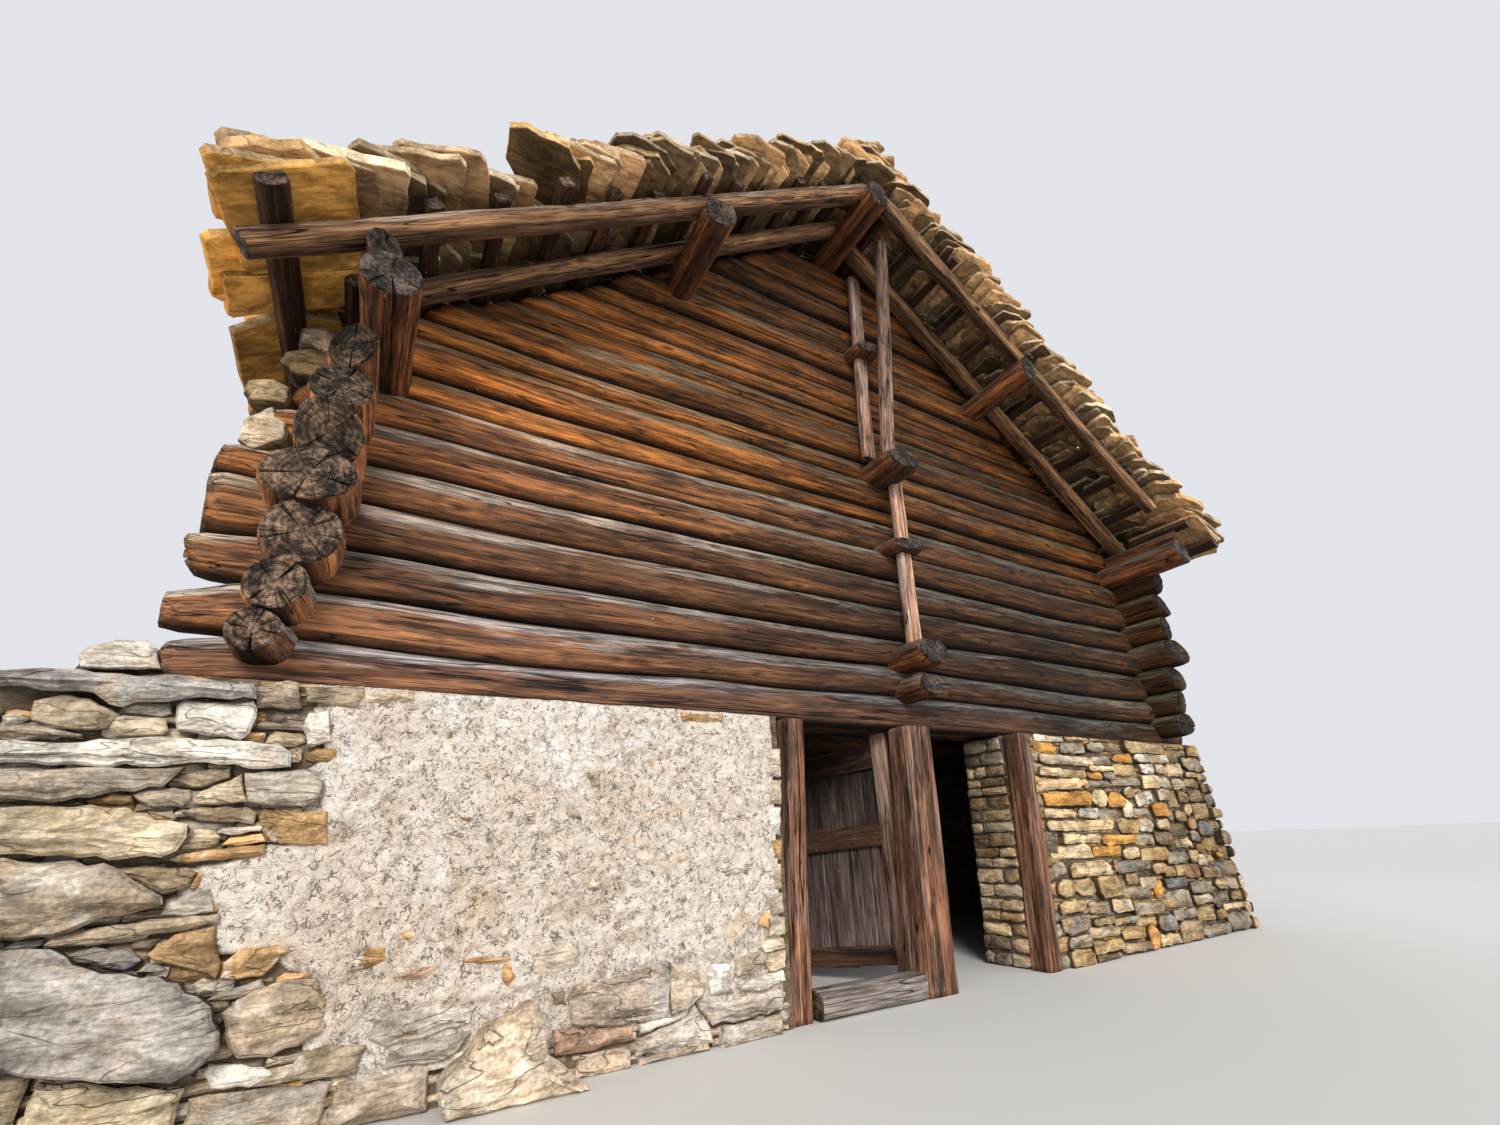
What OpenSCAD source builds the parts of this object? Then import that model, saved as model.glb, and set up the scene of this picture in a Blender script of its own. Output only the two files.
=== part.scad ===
// Alpine log chalet: a drystone ground floor with a stable door, a log-built
// upper floor and gable, and a roof of thick stone slabs on purlins, poles
// and battens. Millimetres, Z up. X runs along the front gable from left to
// right, Y runs into the depth, the front faces -Y.

/* [Plan] */
// distance between the centre lines of the two long log walls
wall_axis = 8200; // [8000:50:8400]
// depth of the log body, from the front to the back gable
body_d = 7400; // [7000:100:8000]
// how far the front logs run past the corner
log_tail = 430; // [400:10:480]

/* [Ground floor] */
// height of the masonry under the logs
base_h = 1790; // [1700:10:1900]
// thickness of the front and back masonry
wall_t = 580; // [500:10:620]
// how far the front masonry stands proud of the log line
wall_proud = 80; // [60:10:100]
// length of the low wall that runs on to the left of the house
spur_len = 950; // [700:50:1200]
// thickness of the coat of lime plaster
plaster_t = 35; // [25:5:40]

/* [Log courses] */
// height of a thin log
thin_h = 196; // [190:2:202]
// height of a middling log
mid_h = 251; // [246:1:256]
// height of a thick log
thick_h = 312; // [306:2:318]
// how much wider than its height a log is
bulge = 1.12; // [1.08:0.02:1.14]

/* [Roof] */
// slope of the roof in degrees
pitch = 39.3; // [38.9:0.1:39.7]
// height of the line of the rafters' undersides at the ridge
rafter_line = 7440; // [7420:10:7460]
// reach of the slabs beyond the front and back log faces
verge = 1030; // [950:10:1080]
// distance from the ridge to the edge of the eaves
eave_x = 4780; // [4760:10:4820]
// thickness of the bed of stone slabs
slab_t = 250; // [200:10:280]
// diameter of the rafter poles
pole_d = 140; // [130:5:150]
// thickness of the battens under the slabs
batten_t = 85; // [75:5:90]
// diameter of the ridge purlin
ridge_d = 300; // [280:10:320]
// diameter of the two purlins half way up
mid_purlin_d = 270; // [250:10:290]

/* [Door] */
// how far the stable door stands open, in degrees
door_open = 66; // [50:1:75]
// width of the door from its hinge line
door_w = 1040; // [1010:5:1050]
// how far the door has sagged at its free edge
door_sag = 80; // [0:5:90]

/* [Hidden] */

// order in which thin (0), middling (1) and thick (2) logs were laid, sill first
laid = [0,1,1,2,1,2,1,0,2,1,2,0,0,0,0,2,1,0,2,2,1];
courses = len(laid);
corner_courses = 7;           // front courses that run past the corners
side_courses = 8;             // courses of the side walls
size_of = [thin_h, mid_h, thick_h];
function fh(k) = size_of[laid[k]];
function seam(k) = k <= 0 ? base_h : seam(k - 1) + fh(k - 1);
function mid(k) = k < 0 ? base_h : (seam(k) + seam(k + 1)) / 2;
function sh(j) = mid(j) - mid(j - 1);          // height of a side log
function fw(k) = fh(k) * bulge;                // width of a front log
function sw(j) = j == 0 ? sh(1) : sh(j) * bulge;

ax = wall_axis / 2;
log_y = 140;                                    // centre line of the front logs
back_y = body_d - log_y;
ct = cos(pitch);
st = sin(pitch);
tt = tan(pitch);
eaves_d = 290;
eaves_z = mid(side_courses - 1) - 45;           // the purlin is let into the last side log
eaves_x = ax - 130;
plate_d = 170;
plate_x = eaves_x + 70;
mid_x = 1950;
ridge_z = rafter_line - ridge_d / 2 + 12;
mid_z = rafter_line - mid_x * tt - mid_purlin_d / 2 / ct + 14;
purlin_out = 860;
bed_gap = 0.3;                                   // joint between pieces that lie flat on each other
plate_z = rafter_line - plate_x * tt - plate_d / 2 / ct + 4;
under_slab = rafter_line + (pole_d + batten_t + bed_gap) / ct;
slab_top = under_slab + slab_t / ct;
house_out = ax + 470;                            // outer face of the left masonry
right_out = ax + 620;                            // outer face of the right masonry
in_x = ax - 250;                                 // inner face of the side masonry
front_y = -wall_proud;
front_in = front_y + wall_t;
back_out = body_d + wall_proud;
back_in = back_out - wall_t;
spur_x = -house_out - spur_len;
door_hx = 60;
door_hy = 245;
// the box round the whole house is centred on the origin
shift_x = -(spur_x + eave_x) / 2;
shift_y = -body_d / 2;

c_wood = [0.45, 0.26, 0.13];
c_dark = [0.30, 0.20, 0.14];
c_grey = [0.40, 0.35, 0.30];
c_stone = [0.66, 0.60, 0.50];
c_lime = [0.85, 0.80, 0.72];
c_slab = [0.48, 0.41, 0.31];

module place() { translate([shift_x, shift_y, 0]) children(); }

module block(x0, x1, y0, y1, z0, z1) {
  translate([x0, y0, z0]) cube([x1 - x0, y1 - y0, z1 - z0]);
}

// round timber with twelve sides, a flat on top; d is measured over the flats
module bar12(d, l) { rotate([0, 0, 15]) cylinder(h = l, d = d / cos(15), $fn = 12); }
module bar_x(x0, x1, d) { translate([x0, 0, 0]) rotate([0, 90, 0]) bar12(d, x1 - x0); }
module bar_y(y0, y1, d) { translate([0, y0, 0]) rotate([-90, 0, 0]) bar12(d, y1 - y0); }

// a log along X whose top and bottom are hewn flat to lie in the wall
module log_x(x0, x1, y, z0, z1, w) {
  intersection() {
    translate([0, y, (z0 + z1) / 2]) bar_x(x0, x1, w);
    block(x0 - 1, x1 + 1, y - w, y + w, z0, z1);
  }
}
module log_y(y0, y1, x, z0, z1, w) {
  intersection() {
    translate([x, 0, (z0 + z1) / 2]) bar_y(y0, y1, w);
    block(x - w, x + w, y0 - 1, y1 + 1, z0, z1);
  }
}

module eaves_purlin_at(x) {
  intersection() {
    translate([x, 0, eaves_z + eaves_d / 2]) bar_y(-purlin_out, body_d + purlin_out, eaves_d);
    block(x - eaves_d, x + eaves_d, -purlin_out - 1, body_d + purlin_out + 1, eaves_z, eaves_z + eaves_d);
  }
}
module plate_bar(s) { translate([s * plate_x, 0, plate_z]) bar_y(-purlin_out + 60, body_d + purlin_out - 60, plate_d); }
module plate_at(s) { difference() { plate_bar(s); eaves_purlin_at(s * eaves_x); } }
module ridge_bar() { translate([0, 0, ridge_z]) bar_y(-purlin_out - 20, body_d + purlin_out + 20, ridge_d); }
module mid_bar(s) { translate([s * mid_x, 0, mid_z]) bar_y(-purlin_out, body_d + purlin_out, mid_purlin_d); }

// everything above the line of the rafters' undersides
module roof_over() {
  translate([0, body_d + 1500, 0]) rotate([90, 0, 0])
    linear_extrude(height = body_d + 3000)
      polygon([[0, rafter_line], [6000, rafter_line - 6000 * tt], [6000, rafter_line + 3000],
               [-6000, rafter_line + 3000], [-6000, rafter_line - 6000 * tt]]);
}

// notches where a front or back log lies between two side logs
module notches_x(k, y) {
  for (s = [-1, 1]) {
    block(s * ax - sw(k) / 2, s * ax + sw(k) / 2, y - 400, y + 400, seam(k) - 5, (seam(k) + mid(k)) / 2);
    block(s * ax - sw(k + 1) / 2, s * ax + sw(k + 1) / 2, y - 400, y + 400, (mid(k) + seam(k + 1)) / 2, seam(k + 1) + 5);
  }
}
module cross_log(k, y) {
  e = ax + log_tail + 35 * (k % 3);
  difference() {
    log_x(-e, e - 25 * (k % 2), y, seam(k), seam(k + 1), fw(k));
    notches_x(k, y);
  }
}
// a gable log ends under the roof and is cut round the purlins
module gable_log(k, y) {
  difference() {
    log_x(-eaves_x, eaves_x, y, seam(k), seam(k + 1), fw(k));
    roof_over();
    for (s = [-1, 1]) { eaves_purlin_at(s * eaves_x); mid_bar(s); plate_bar(s); }
    ridge_bar();
  }
}
module side_log(j, s) {
  a = 250 + 65 * ((j * 2) % 3) + (j == 4 ? 60 : 0);
  z0 = mid(j - 1);
  z1 = mid(j);
  difference() {
    if (j == 0)
      log_y(-a, body_d + a, s * ax, z0, z1, sw(0));
    else
      log_y(-a, body_d + a, s * ax, z0, z1, sw(j));
    for (y = [log_y, back_y]) {
      if (j > 0)
        block(s * ax - 400, s * ax + 400, y - fw(j - 1) / 2, y + fw(j - 1) / 2, z0 - 5, (z0 + seam(j)) / 2);
      if (j < side_courses - 1)
        block(s * ax - 400, s * ax + 400, y - fw(j) / 2, y + fw(j) / 2, (seam(j) + z1) / 2, z1 + 5);
    }
    if (j == side_courses - 1) eaves_purlin_at(s * eaves_x);
  }
}

// the ends of the cross beams that hold the upright clamps
// [x, z, width, height, reach]
stub_low = [215, 2100, 230, 200, 250];
stub_foot = [225, 2360, 320, 230, 330];
stub_thin = [260, 3400, 350, 130, 230];
stub_big = [200, 4215, 400, 260, 400];
stub_top = [130, 5700, 300, 130, 260];
stubs = [stub_low, stub_foot, stub_thin, stub_big, stub_top];
module stub_solid(p) { block(p[0] - p[2] / 2, p[0] + p[2] / 2, -p[4], 322, p[1] - p[3] / 2, p[1] + p[3] / 2); }
module stub_holes() { for (p = stubs) stub_solid(p); }

module lower_post_solid() {
  translate([225, -125, 2300]) rotate([0, 3, 0]) translate([-55, -40, 0]) cube([110, 80, 2050]);
}
// the front one leans out to pass the ridge purlin, the back one stays by the wall
module front_clamp_solid() {
  translate([150, -265, 4130]) rotate([5.5, 0, 0]) rotate([0, 5.2, 0]) translate([-50, -45, 0]) cube([100, 90, 2960]);
}
module back_clamp_solid() {
  translate([25, -105, 4335]) rotate([0, 4.2, 0]) translate([-45, -35, 0]) cube([90, 70, 2600]);
}

// ---------- masonry ----------
module front_wall_left() { color(c_stone) place() {
  block(-house_out, -1200, front_y, front_in, 0, base_h);
} }
module front_wall_right() { color(c_stone) place() {
  r = 420;
  difference() {
    intersection() {
      linear_extrude(height = base_h)
        polygon(concat([[1000, front_y]],
          [for (a = [-90:15:0]) [right_out - r + r * cos(a), front_y + r + r * sin(a)]],
          [[right_out, front_in], [1000, front_in]]));
      translate([0, front_in + 10, 0]) rotate([90, 0, 0]) linear_extrude(height = wall_t + 20)
        polygon([[1140, 0], [right_out + 10, 0], [right_out + 10, base_h], [1330, base_h]]);
    }
    // the rebate in which the right door post stands
    intersection() {
      translate([1200, 0, 0]) rotate([0, 8, 0]) block(-600, 90, front_y - 60, 75, -200, 2200);
      block(600, 2200, front_y - 60, 75, -1, base_h + 1);
    }
  }
} }
module left_wall() { color(c_stone) place() { block(-house_out, -in_x, front_in, back_in, 0, base_h); } }
module right_wall() { color(c_stone) place() { block(in_x, right_out, front_in, back_in, 0, base_h); } }
module back_wall() { color(c_stone) place() { block(-house_out, right_out, back_in, back_out, 0, base_h); } }
module side_wall_stub() { color(c_stone) place() {
  translate([0, front_in, 0]) rotate([90, 0, 0]) linear_extrude(height = wall_t)
    polygon([[spur_x, 0], [-house_out, 0], [-house_out, base_h + 70],
             [-house_out - 160, base_h + 70], [-house_out - 200, base_h - 60],
             [-house_out - 430, base_h - 60], [-house_out - 470, base_h - 160], [spur_x, base_h - 200]]);
} }
module plaster_coat() { color(c_lime) place() {
  translate([0, front_y, 0]) rotate([90, 0, 0]) linear_extrude(height = plaster_t)
    polygon([[-1205, base_h - 5], [-3850, base_h - 20], [-3800, 1500], [-3720, 1250], [-3760, 960],
             [-4120, 880], [-4180, 560], [-3950, 330], [-3300, 260], [-2700, 380], [-2100, 520],
             [-1600, 560], [-1320, 620], [-1260, 900], [-1205, 1000]]);
} }

// ---------- door way ----------
module leaning_post(x, y0, y1, w, lean) {
  intersection() {
    translate([x, 0, 0]) rotate([0, lean, 0]) block(-w / 2, w / 2, y0, y1, -200, 2200);
    block(x - 900, x + 900, y0 - 1, y1 + 1, 0, base_h);
  }
}
module left_door_post() { color(c_wood) place() leaning_post(-1110, -60, 140, 160, 3); }
module middle_door_post() { color(c_wood) place() leaning_post(15, -100, 150, 300, 4.5); }
module right_door_post() { color(c_wood) place() leaning_post(1200, -110, 65, 170, 8); }
module threshold_log() { color(c_grey) place() {
  difference() {
    block(-1010, -160, -120, 100, 0, 150);
    translate([-1110, 0, 0]) rotate([0, 3, 0]) block(-82, 82, -62, 142, -200, 2200);
    translate([15, 0, 0]) rotate([0, 4.5, 0]) block(-152, 152, -102, 152, -200, 2200);
  }
} }

// ---------- log walls ----------
module with_stub_holes() { difference() { children(); stub_holes(); } }
module front_sill_log() { color(c_wood) place() with_stub_holes() cross_log(0, log_y); }
module front_logs_odd() { color(c_wood) place() with_stub_holes() for (k = [1:2:corner_courses - 1]) cross_log(k, log_y); }
module front_logs_even() { color(c_wood) place() with_stub_holes() for (k = [2:2:corner_courses - 1]) cross_log(k, log_y); }
module front_gable_logs_odd() { color(c_wood) place() with_stub_holes() for (k = [corner_courses:2:courses - 1]) gable_log(k, log_y); }
module front_gable_logs_even() { color(c_wood) place() with_stub_holes() for (k = [corner_courses + 1:2:courses - 1]) gable_log(k, log_y); }
module back_logs_odd() { color(c_wood) place() for (k = [1:2:corner_courses - 1]) cross_log(k, back_y); }
module back_logs_even() { color(c_wood) place() for (k = [0:2:corner_courses - 1]) cross_log(k, back_y); }
module back_gable_logs_odd() { color(c_wood) place() for (k = [corner_courses:2:courses - 1]) gable_log(k, back_y); }
module back_gable_logs_even() { color(c_wood) place() for (k = [corner_courses + 1:2:courses - 1]) gable_log(k, back_y); }
module left_logs_odd() { color(c_wood) place() for (j = [1:2:side_courses - 1]) side_log(j, -1); }
module left_logs_even() { color(c_wood) place() for (j = [0:2:side_courses - 1]) side_log(j, -1); }
module right_logs_odd() { color(c_wood) place() for (j = [1:2:side_courses - 1]) side_log(j, 1); }
module right_logs_even() { color(c_wood) place() for (j = [0:2:side_courses - 1]) side_log(j, 1); }

// ---------- roof ----------
module ridge_purlin() { color(c_dark) place() ridge_bar(); }
module mid_purlins() { color(c_dark) place() for (s = [-1, 1]) mid_bar(s); }
module left_eaves_purlin() { color(c_dark) place() eaves_purlin_at(-eaves_x); }
module right_eaves_purlin() { color(c_dark) place() eaves_purlin_at(eaves_x); }
module eaves_plates() { color(c_dark) place() for (s = [-1, 1]) plate_at(s); }

// lay(s, up) puts its children on the slope: local X runs down the slope from
// the ridge line, local Z is square to it, "up" above the rafters' undersides
module lay(s, up) {
  if (s > 0) translate([0, 0, rafter_line]) rotate([0, pitch, 0]) translate([0, 0, up]) children();
  else mirror([1, 0, 0]) translate([0, 0, rafter_line]) rotate([0, pitch, 0]) translate([0, 0, up]) children();
}
rafter_ys = concat([-750], [for (i = [0:9]) -125 + i * (body_d + 250) / 9], [body_d + 750]);
rafter_len = 4640 / ct;
module rafters(s) {
  difference() {
    for (y = rafter_ys) lay(s, pole_d / 2) translate([-400, y, 0]) bar_x(0, rafter_len + 400, pole_d);
    block(-s * 1000 - 1000, -s * 1000 + 1000, -1500, body_d + 1500, 5000, 9000);
    ridge_bar();
    mid_bar(s);
    plate_bar(s);
    front_clamp_clear();
  }
}
module front_clamp_clear() {
  translate([150, -265, 4130]) rotate([5.5, 0, 0]) rotate([0, 5.2, 0]) translate([-52, -47, -2]) cube([104, 94, 2970]);
}
module left_rafters() { color(c_dark) place() rafters(-1); }
module right_rafters() { color(c_dark) place() rafters(1); }
batten_n = 13;
batten_step = (4470 / ct - 260) / (batten_n - 1);
module battens(s) {
  for (i = [0:batten_n - 1])
    lay(s, pole_d) translate([260 + i * batten_step - 70, -verge + 110, 0])
      cube([i == batten_n - 1 ? 190 : 140, body_d + 2 * verge - 220, batten_t]);
}
module left_battens() { color(c_dark) place() battens(-1); }
module right_battens() { color(c_dark) place() battens(1); }
module roof_bed(s) {
  translate([0, body_d + verge, 0]) rotate([90, 0, 0])
    linear_extrude(height = body_d + 2 * verge)
      polygon([[0, under_slab], [s * eave_x, under_slab - eave_x * tt], [s * eave_x, slab_top - eave_x * tt], [0, slab_top]]);
}
module left_roof_slabs() { color(c_slab) place() roof_bed(-1); }
module right_roof_slabs() { color(c_slab) place() roof_bed(1); }
module ridge_slabs() { color(c_slab) place() {
  // one row on each side, meeting in an open joint along the ridge
  for (s = [-1, 1])
    translate([0, body_d + verge + 25, 0]) rotate([90, 0, 0])
      linear_extrude(height = body_d + 2 * verge + 50)
        polygon([[s * 2, slab_top + bed_gap - 2 * tt], [s * 420, slab_top + bed_gap - 420 * tt],
                 [s * 420, slab_top - 420 * tt + 70], [s * 2, slab_top + 80]]);
} }

// ---------- clamps ----------
module lower_clamp_post() { color(c_grey) place() lower_post_solid(); }
module upper_clamp_posts() { color(c_grey) place() { front_clamp_solid(); back_clamp_solid(); } }
module clamp_stubs() { color(c_dark) place() {
  difference() {
    for (p = stubs) stub_solid(p);
    lower_post_solid();
    front_clamp_solid();
    back_clamp_solid();
  }
} }

// ---------- upper floor ----------
joists_n = 8;
module floor_joists() { color(c_dark) place() {
  for (i = [0:joists_n - 1])
    translate([0, front_in - 60 + i * (back_in - front_in + 120) / (joists_n - 1), base_h + 100 + bed_gap])
      bar_x(-in_x - 60, in_x + 60, 200);
} }
module floor_boards() { color(c_dark) place() block(-ax + 200, ax - 200, log_y + 190, back_y - 190, base_h + 200 + 2 * bed_gap, base_h + 240); }

// ---------- stable door, hung on its right stile ----------
// local: hinge line at the origin, closed leaf runs to -X, outer face to -Y
module hang() { translate([door_hx, door_hy, 0]) rotate([0, 0, -door_open]) children(); }
// a board in the plane of the leaf, sagging with it; z is given at the hinge
module in_leaf(x0, x1, y0, y1, z0, z1) {
  d0 = door_sag * (-x1) / door_w;
  d1 = door_sag * (-x0) / door_w;
  translate([0, y1, 0]) rotate([90, 0, 0]) linear_extrude(height = y1 - y0)
    polygon([[x0, z0 - d1], [x1, z0 - d0], [x1, z1 - d0], [x0, z1 - d1]]);
}
module door_boards() { color(c_grey) place() hang() in_leaf(-door_w, -45, -5, 25, 135, 1715); }
module door_ledges() { color(c_dark) place() hang() {
  in_leaf(-door_w + 5, -45, -35, -5, 1520, 1715);
  in_leaf(-door_w + 5, -45, -35, -5, 940, 1115);
  in_leaf(-door_w + 5, -45, -35, -5, 140, 265);
} }
// the foot of the stile is rounded into the pivot that the door turns on
module door_stile() { color(c_wood) place() hang() {
  block(-45, 35, -40, 35, 90, base_h - 12);
  translate([0, 0, 12]) cylinder(h = 90, d = 56, $fn = 48);
} }

front_wall_left();
front_wall_right();
left_wall();
right_wall();
back_wall();
side_wall_stub();
plaster_coat();
left_door_post();
middle_door_post();
right_door_post();
threshold_log();
front_sill_log();
front_logs_odd();
front_logs_even();
front_gable_logs_odd();
front_gable_logs_even();
back_logs_odd();
back_logs_even();
back_gable_logs_odd();
back_gable_logs_even();
left_logs_odd();
left_logs_even();
right_logs_odd();
right_logs_even();
ridge_purlin();
mid_purlins();
left_eaves_purlin();
right_eaves_purlin();
eaves_plates();
left_rafters();
right_rafters();
left_battens();
right_battens();
left_roof_slabs();
right_roof_slabs();
ridge_slabs();
lower_clamp_post();
upper_clamp_posts();
clamp_stubs();
floor_joists();
floor_boards();
door_boards();
door_ledges();
door_stile();
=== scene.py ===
import math

import bpy
import numpy as np
from mathutils import Matrix


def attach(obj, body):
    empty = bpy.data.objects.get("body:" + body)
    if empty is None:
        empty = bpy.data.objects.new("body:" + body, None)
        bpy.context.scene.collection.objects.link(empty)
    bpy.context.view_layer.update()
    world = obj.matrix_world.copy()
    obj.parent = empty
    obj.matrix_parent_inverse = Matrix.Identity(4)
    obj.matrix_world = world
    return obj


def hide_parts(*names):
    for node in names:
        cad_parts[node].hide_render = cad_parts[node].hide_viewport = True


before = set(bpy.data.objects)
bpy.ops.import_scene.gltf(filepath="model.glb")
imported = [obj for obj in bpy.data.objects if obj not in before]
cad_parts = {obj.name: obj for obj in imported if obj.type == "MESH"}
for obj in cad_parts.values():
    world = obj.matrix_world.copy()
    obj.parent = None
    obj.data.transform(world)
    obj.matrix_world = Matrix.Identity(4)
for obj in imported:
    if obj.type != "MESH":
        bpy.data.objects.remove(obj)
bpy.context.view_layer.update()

# ------------------------------------------------------------------
# sizes in metres, the same as the construction's
# ------------------------------------------------------------------
SX, SY = 0.37, -3.7
BASE_H = 1.79
SIZE = [0.196, 0.251, 0.312]
LAID = [0, 1, 1, 2, 1, 2, 1, 0, 2, 1, 2, 0, 0, 0, 0, 2, 1, 0, 2, 2, 1]
COURSES = len(LAID)
CORNER = 7
SIDE = 8
SEAM = [BASE_H]
for _k in LAID:
    SEAM.append(SEAM[-1] + SIZE[_k])
AX = 4.1
BODY_D = 7.4
LOG_Y = 0.14
BACK_Y = BODY_D - LOG_Y
PITCH = math.radians(39.3)
CT, ST, TT = math.cos(PITCH), math.sin(PITCH), math.tan(PITCH)
RAFTER_LINE = 7.44
POLE_D = 0.14
BATTEN_T = 0.085
SLAB_T = 0.25
UNDER_SLAB = RAFTER_LINE + (POLE_D + BATTEN_T) / CT
EAVE_X = 4.78
VERGE = 1.03
TAIL = 0.43
OUT_L = 4.57
OUT_R = 4.72
IN_X = 3.85
FRONT_Y = -0.08
FRONT_IN = 0.5
BACK_OUT = BODY_D + 0.08
BACK_IN = BACK_OUT - 0.58
HINGE = (0.06, 0.245)
DOOR_OPEN = math.radians(66)
DOOR_W = 1.04
DOOR_SAG = 0.08


def mid(k):
    return BASE_H if k < 0 else (SEAM[k] + SEAM[k + 1]) / 2


EAVES_Z = mid(SIDE - 1) - 0.045
EAVES_D = 0.29
EAVES_X = AX - 0.13
PLATE_D = 0.17
PLATE_X = EAVES_X + 0.07
PLATE_Z = RAFTER_LINE - PLATE_X * TT - PLATE_D / 2 / CT + 0.004
RIDGE_D = 0.30
RIDGE_Z = RAFTER_LINE - RIDGE_D / 2 + 0.012
MID_X = 1.95
MID_D = 0.27
MID_Z = RAFTER_LINE - MID_X * TT - MID_D / 2 / CT + 0.014
PURLIN_OUT = 0.86


# ------------------------------------------------------------------
# noise
# ------------------------------------------------------------------
def _hash(ix, iy, iz, seed):
    n = (ix * 374761393 + iy * 668265263 + iz * 1274126177 + seed * 974634777) & 0xFFFFFFFF
    n = ((n ^ (n >> 13)) * 1274126177) & 0xFFFFFFFF
    n = ((n ^ (n >> 15)) * 2246822519) & 0xFFFFFFFF
    return ((n ^ (n >> 16)) & 0xFFFF) / 32767.5 - 1.0


def noise3(p, seed=0):
    p = np.asarray(p, float)
    i = np.floor(p).astype(np.int64)
    f = p - i
    f = f * f * (3 - 2 * f)
    out = 0.0
    for dx in (0, 1):
        wx = f[..., 0] if dx else 1 - f[..., 0]
        for dy in (0, 1):
            wy = f[..., 1] if dy else 1 - f[..., 1]
            for dz in (0, 1):
                wz = f[..., 2] if dz else 1 - f[..., 2]
                out = out + wx * wy * wz * _hash(i[..., 0] + dx, i[..., 1] + dy, i[..., 2] + dz, seed)
    return out


def fbm(p, octaves=3, seed=0, gain=0.5):
    p = np.asarray(p, float)
    a, out, tot = 1.0, 0.0, 0.0
    for o in range(octaves):
        out = out + a * noise3(p * (2.0**o), seed + 17 * o)
        tot += a
        a *= gain
    return out / tot


def smooth(x, a, b):
    t = np.clip((x - a) / (b - a), 0, 1)
    return t * t * (3 - 2 * t)


# ------------------------------------------------------------------
# building meshes from arrays
# ------------------------------------------------------------------
class Build:
    def __init__(self, name, seed=1):
        self.name = name
        self.v, self.lp, self.cr, self.rn = [], [], [], []
        self.quads, self.tris = [], []
        self.qe, self.te = [], []
        self.n = 0
        self.rng = np.random.default_rng(seed)

    def add(self, v, quads=None, tris=None, lp=None, cr=None, rnd=None, qend=0.0, tend=0.0):
        v = np.asarray(v, float).reshape(-1, 3)
        m = len(v)
        o = v.mean(0)
        w = v - o
        vol = 0.0
        if quads is not None and len(quads):
            quads = np.asarray(quads, np.int64)
            a, b, c, d = (w[quads[:, i]] for i in range(4))
            vol += (a * np.cross(b, c)).sum() + (a * np.cross(c, d)).sum()
        if tris is not None and len(tris):
            tris = np.asarray(tris, np.int64)
            a, b, c = (w[tris[:, i]] for i in range(3))
            vol += (a * np.cross(b, c)).sum()
        if vol < 0:
            if quads is not None and len(quads):
                quads = quads[:, ::-1]
            if tris is not None and len(tris):
                tris = tris[:, ::-1]
        self.v.append(v)
        self.lp.append(v if lp is None else np.asarray(lp, float).reshape(-1, 3))
        self.cr.append(np.zeros((m, 3)) if cr is None else np.asarray(cr, float).reshape(-1, 3))
        if rnd is None:
            rnd = self.rng.random(3)
        rnd = np.asarray(rnd, float)
        self.rn.append(np.broadcast_to(rnd, (m, 3)) if rnd.ndim == 1 else rnd)
        if quads is not None and len(quads):
            quads = np.asarray(quads, np.int64)
            self.quads.append(quads + self.n)
            self.qe.append(np.broadcast_to(np.asarray(qend, float), (len(quads),)))
        if tris is not None and len(tris):
            tris = np.asarray(tris, np.int64)
            self.tris.append(tris + self.n)
            self.te.append(np.broadcast_to(np.asarray(tend, float), (len(tris),)))
        self.n += m

    def make(self, mat, body="house", replaces=(), smooth_faces=True, world=True):
        v = np.concatenate(self.v)
        if world:
            v = v + np.array([SX, SY, 0.0])
        v[:, 2] = np.maximum(v[:, 2], 0.0)
        q = np.concatenate(self.quads) if self.quads else np.zeros((0, 4), np.int64)
        t = np.concatenate(self.tris) if self.tris else np.zeros((0, 3), np.int64)
        me = bpy.data.meshes.new(self.name)
        me.vertices.add(len(v))
        me.vertices.foreach_set("co", v.ravel())
        nl = len(q) * 4 + len(t) * 3
        me.loops.add(nl)
        me.loops.foreach_set("vertex_index", np.concatenate([q.ravel(), t.ravel()]).astype(np.int32))
        me.polygons.add(len(q) + len(t))
        starts = np.concatenate([np.arange(len(q)) * 4, len(q) * 4 + np.arange(len(t)) * 3]).astype(np.int32)
        me.polygons.foreach_set("loop_start", starts)
        end = np.concatenate(self.qe + self.te) if (self.qe or self.te) else np.zeros(0)
        me.update(calc_edges=True)
        me.validate()
        for key, data in (("lp", self.lp), ("cr", self.cr), ("rn", self.rn)):
            a = me.attributes.new(key, "FLOAT_VECTOR", "POINT")
            a.data.foreach_set("vector", np.concatenate(data).astype(np.float32).ravel())
        a = me.attributes.new("endf", "FLOAT", "FACE")
        a.data.foreach_set("value", end.astype(np.float32))
        sm = np.full(len(me.polygons), bool(smooth_faces))
        sm &= ~(end > 0.5)
        me.polygons.foreach_set("use_smooth", sm)
        me.materials.append(mat)
        me.update()
        o = bpy.data.objects.new(self.name, me)
        bpy.context.scene.collection.objects.link(o)
        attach(o, body)
        if replaces:
            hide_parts(*replaces)
        return o


def unit(a):
    a = np.asarray(a, float)
    return a / np.linalg.norm(a, axis=-1, keepdims=True)


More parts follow.
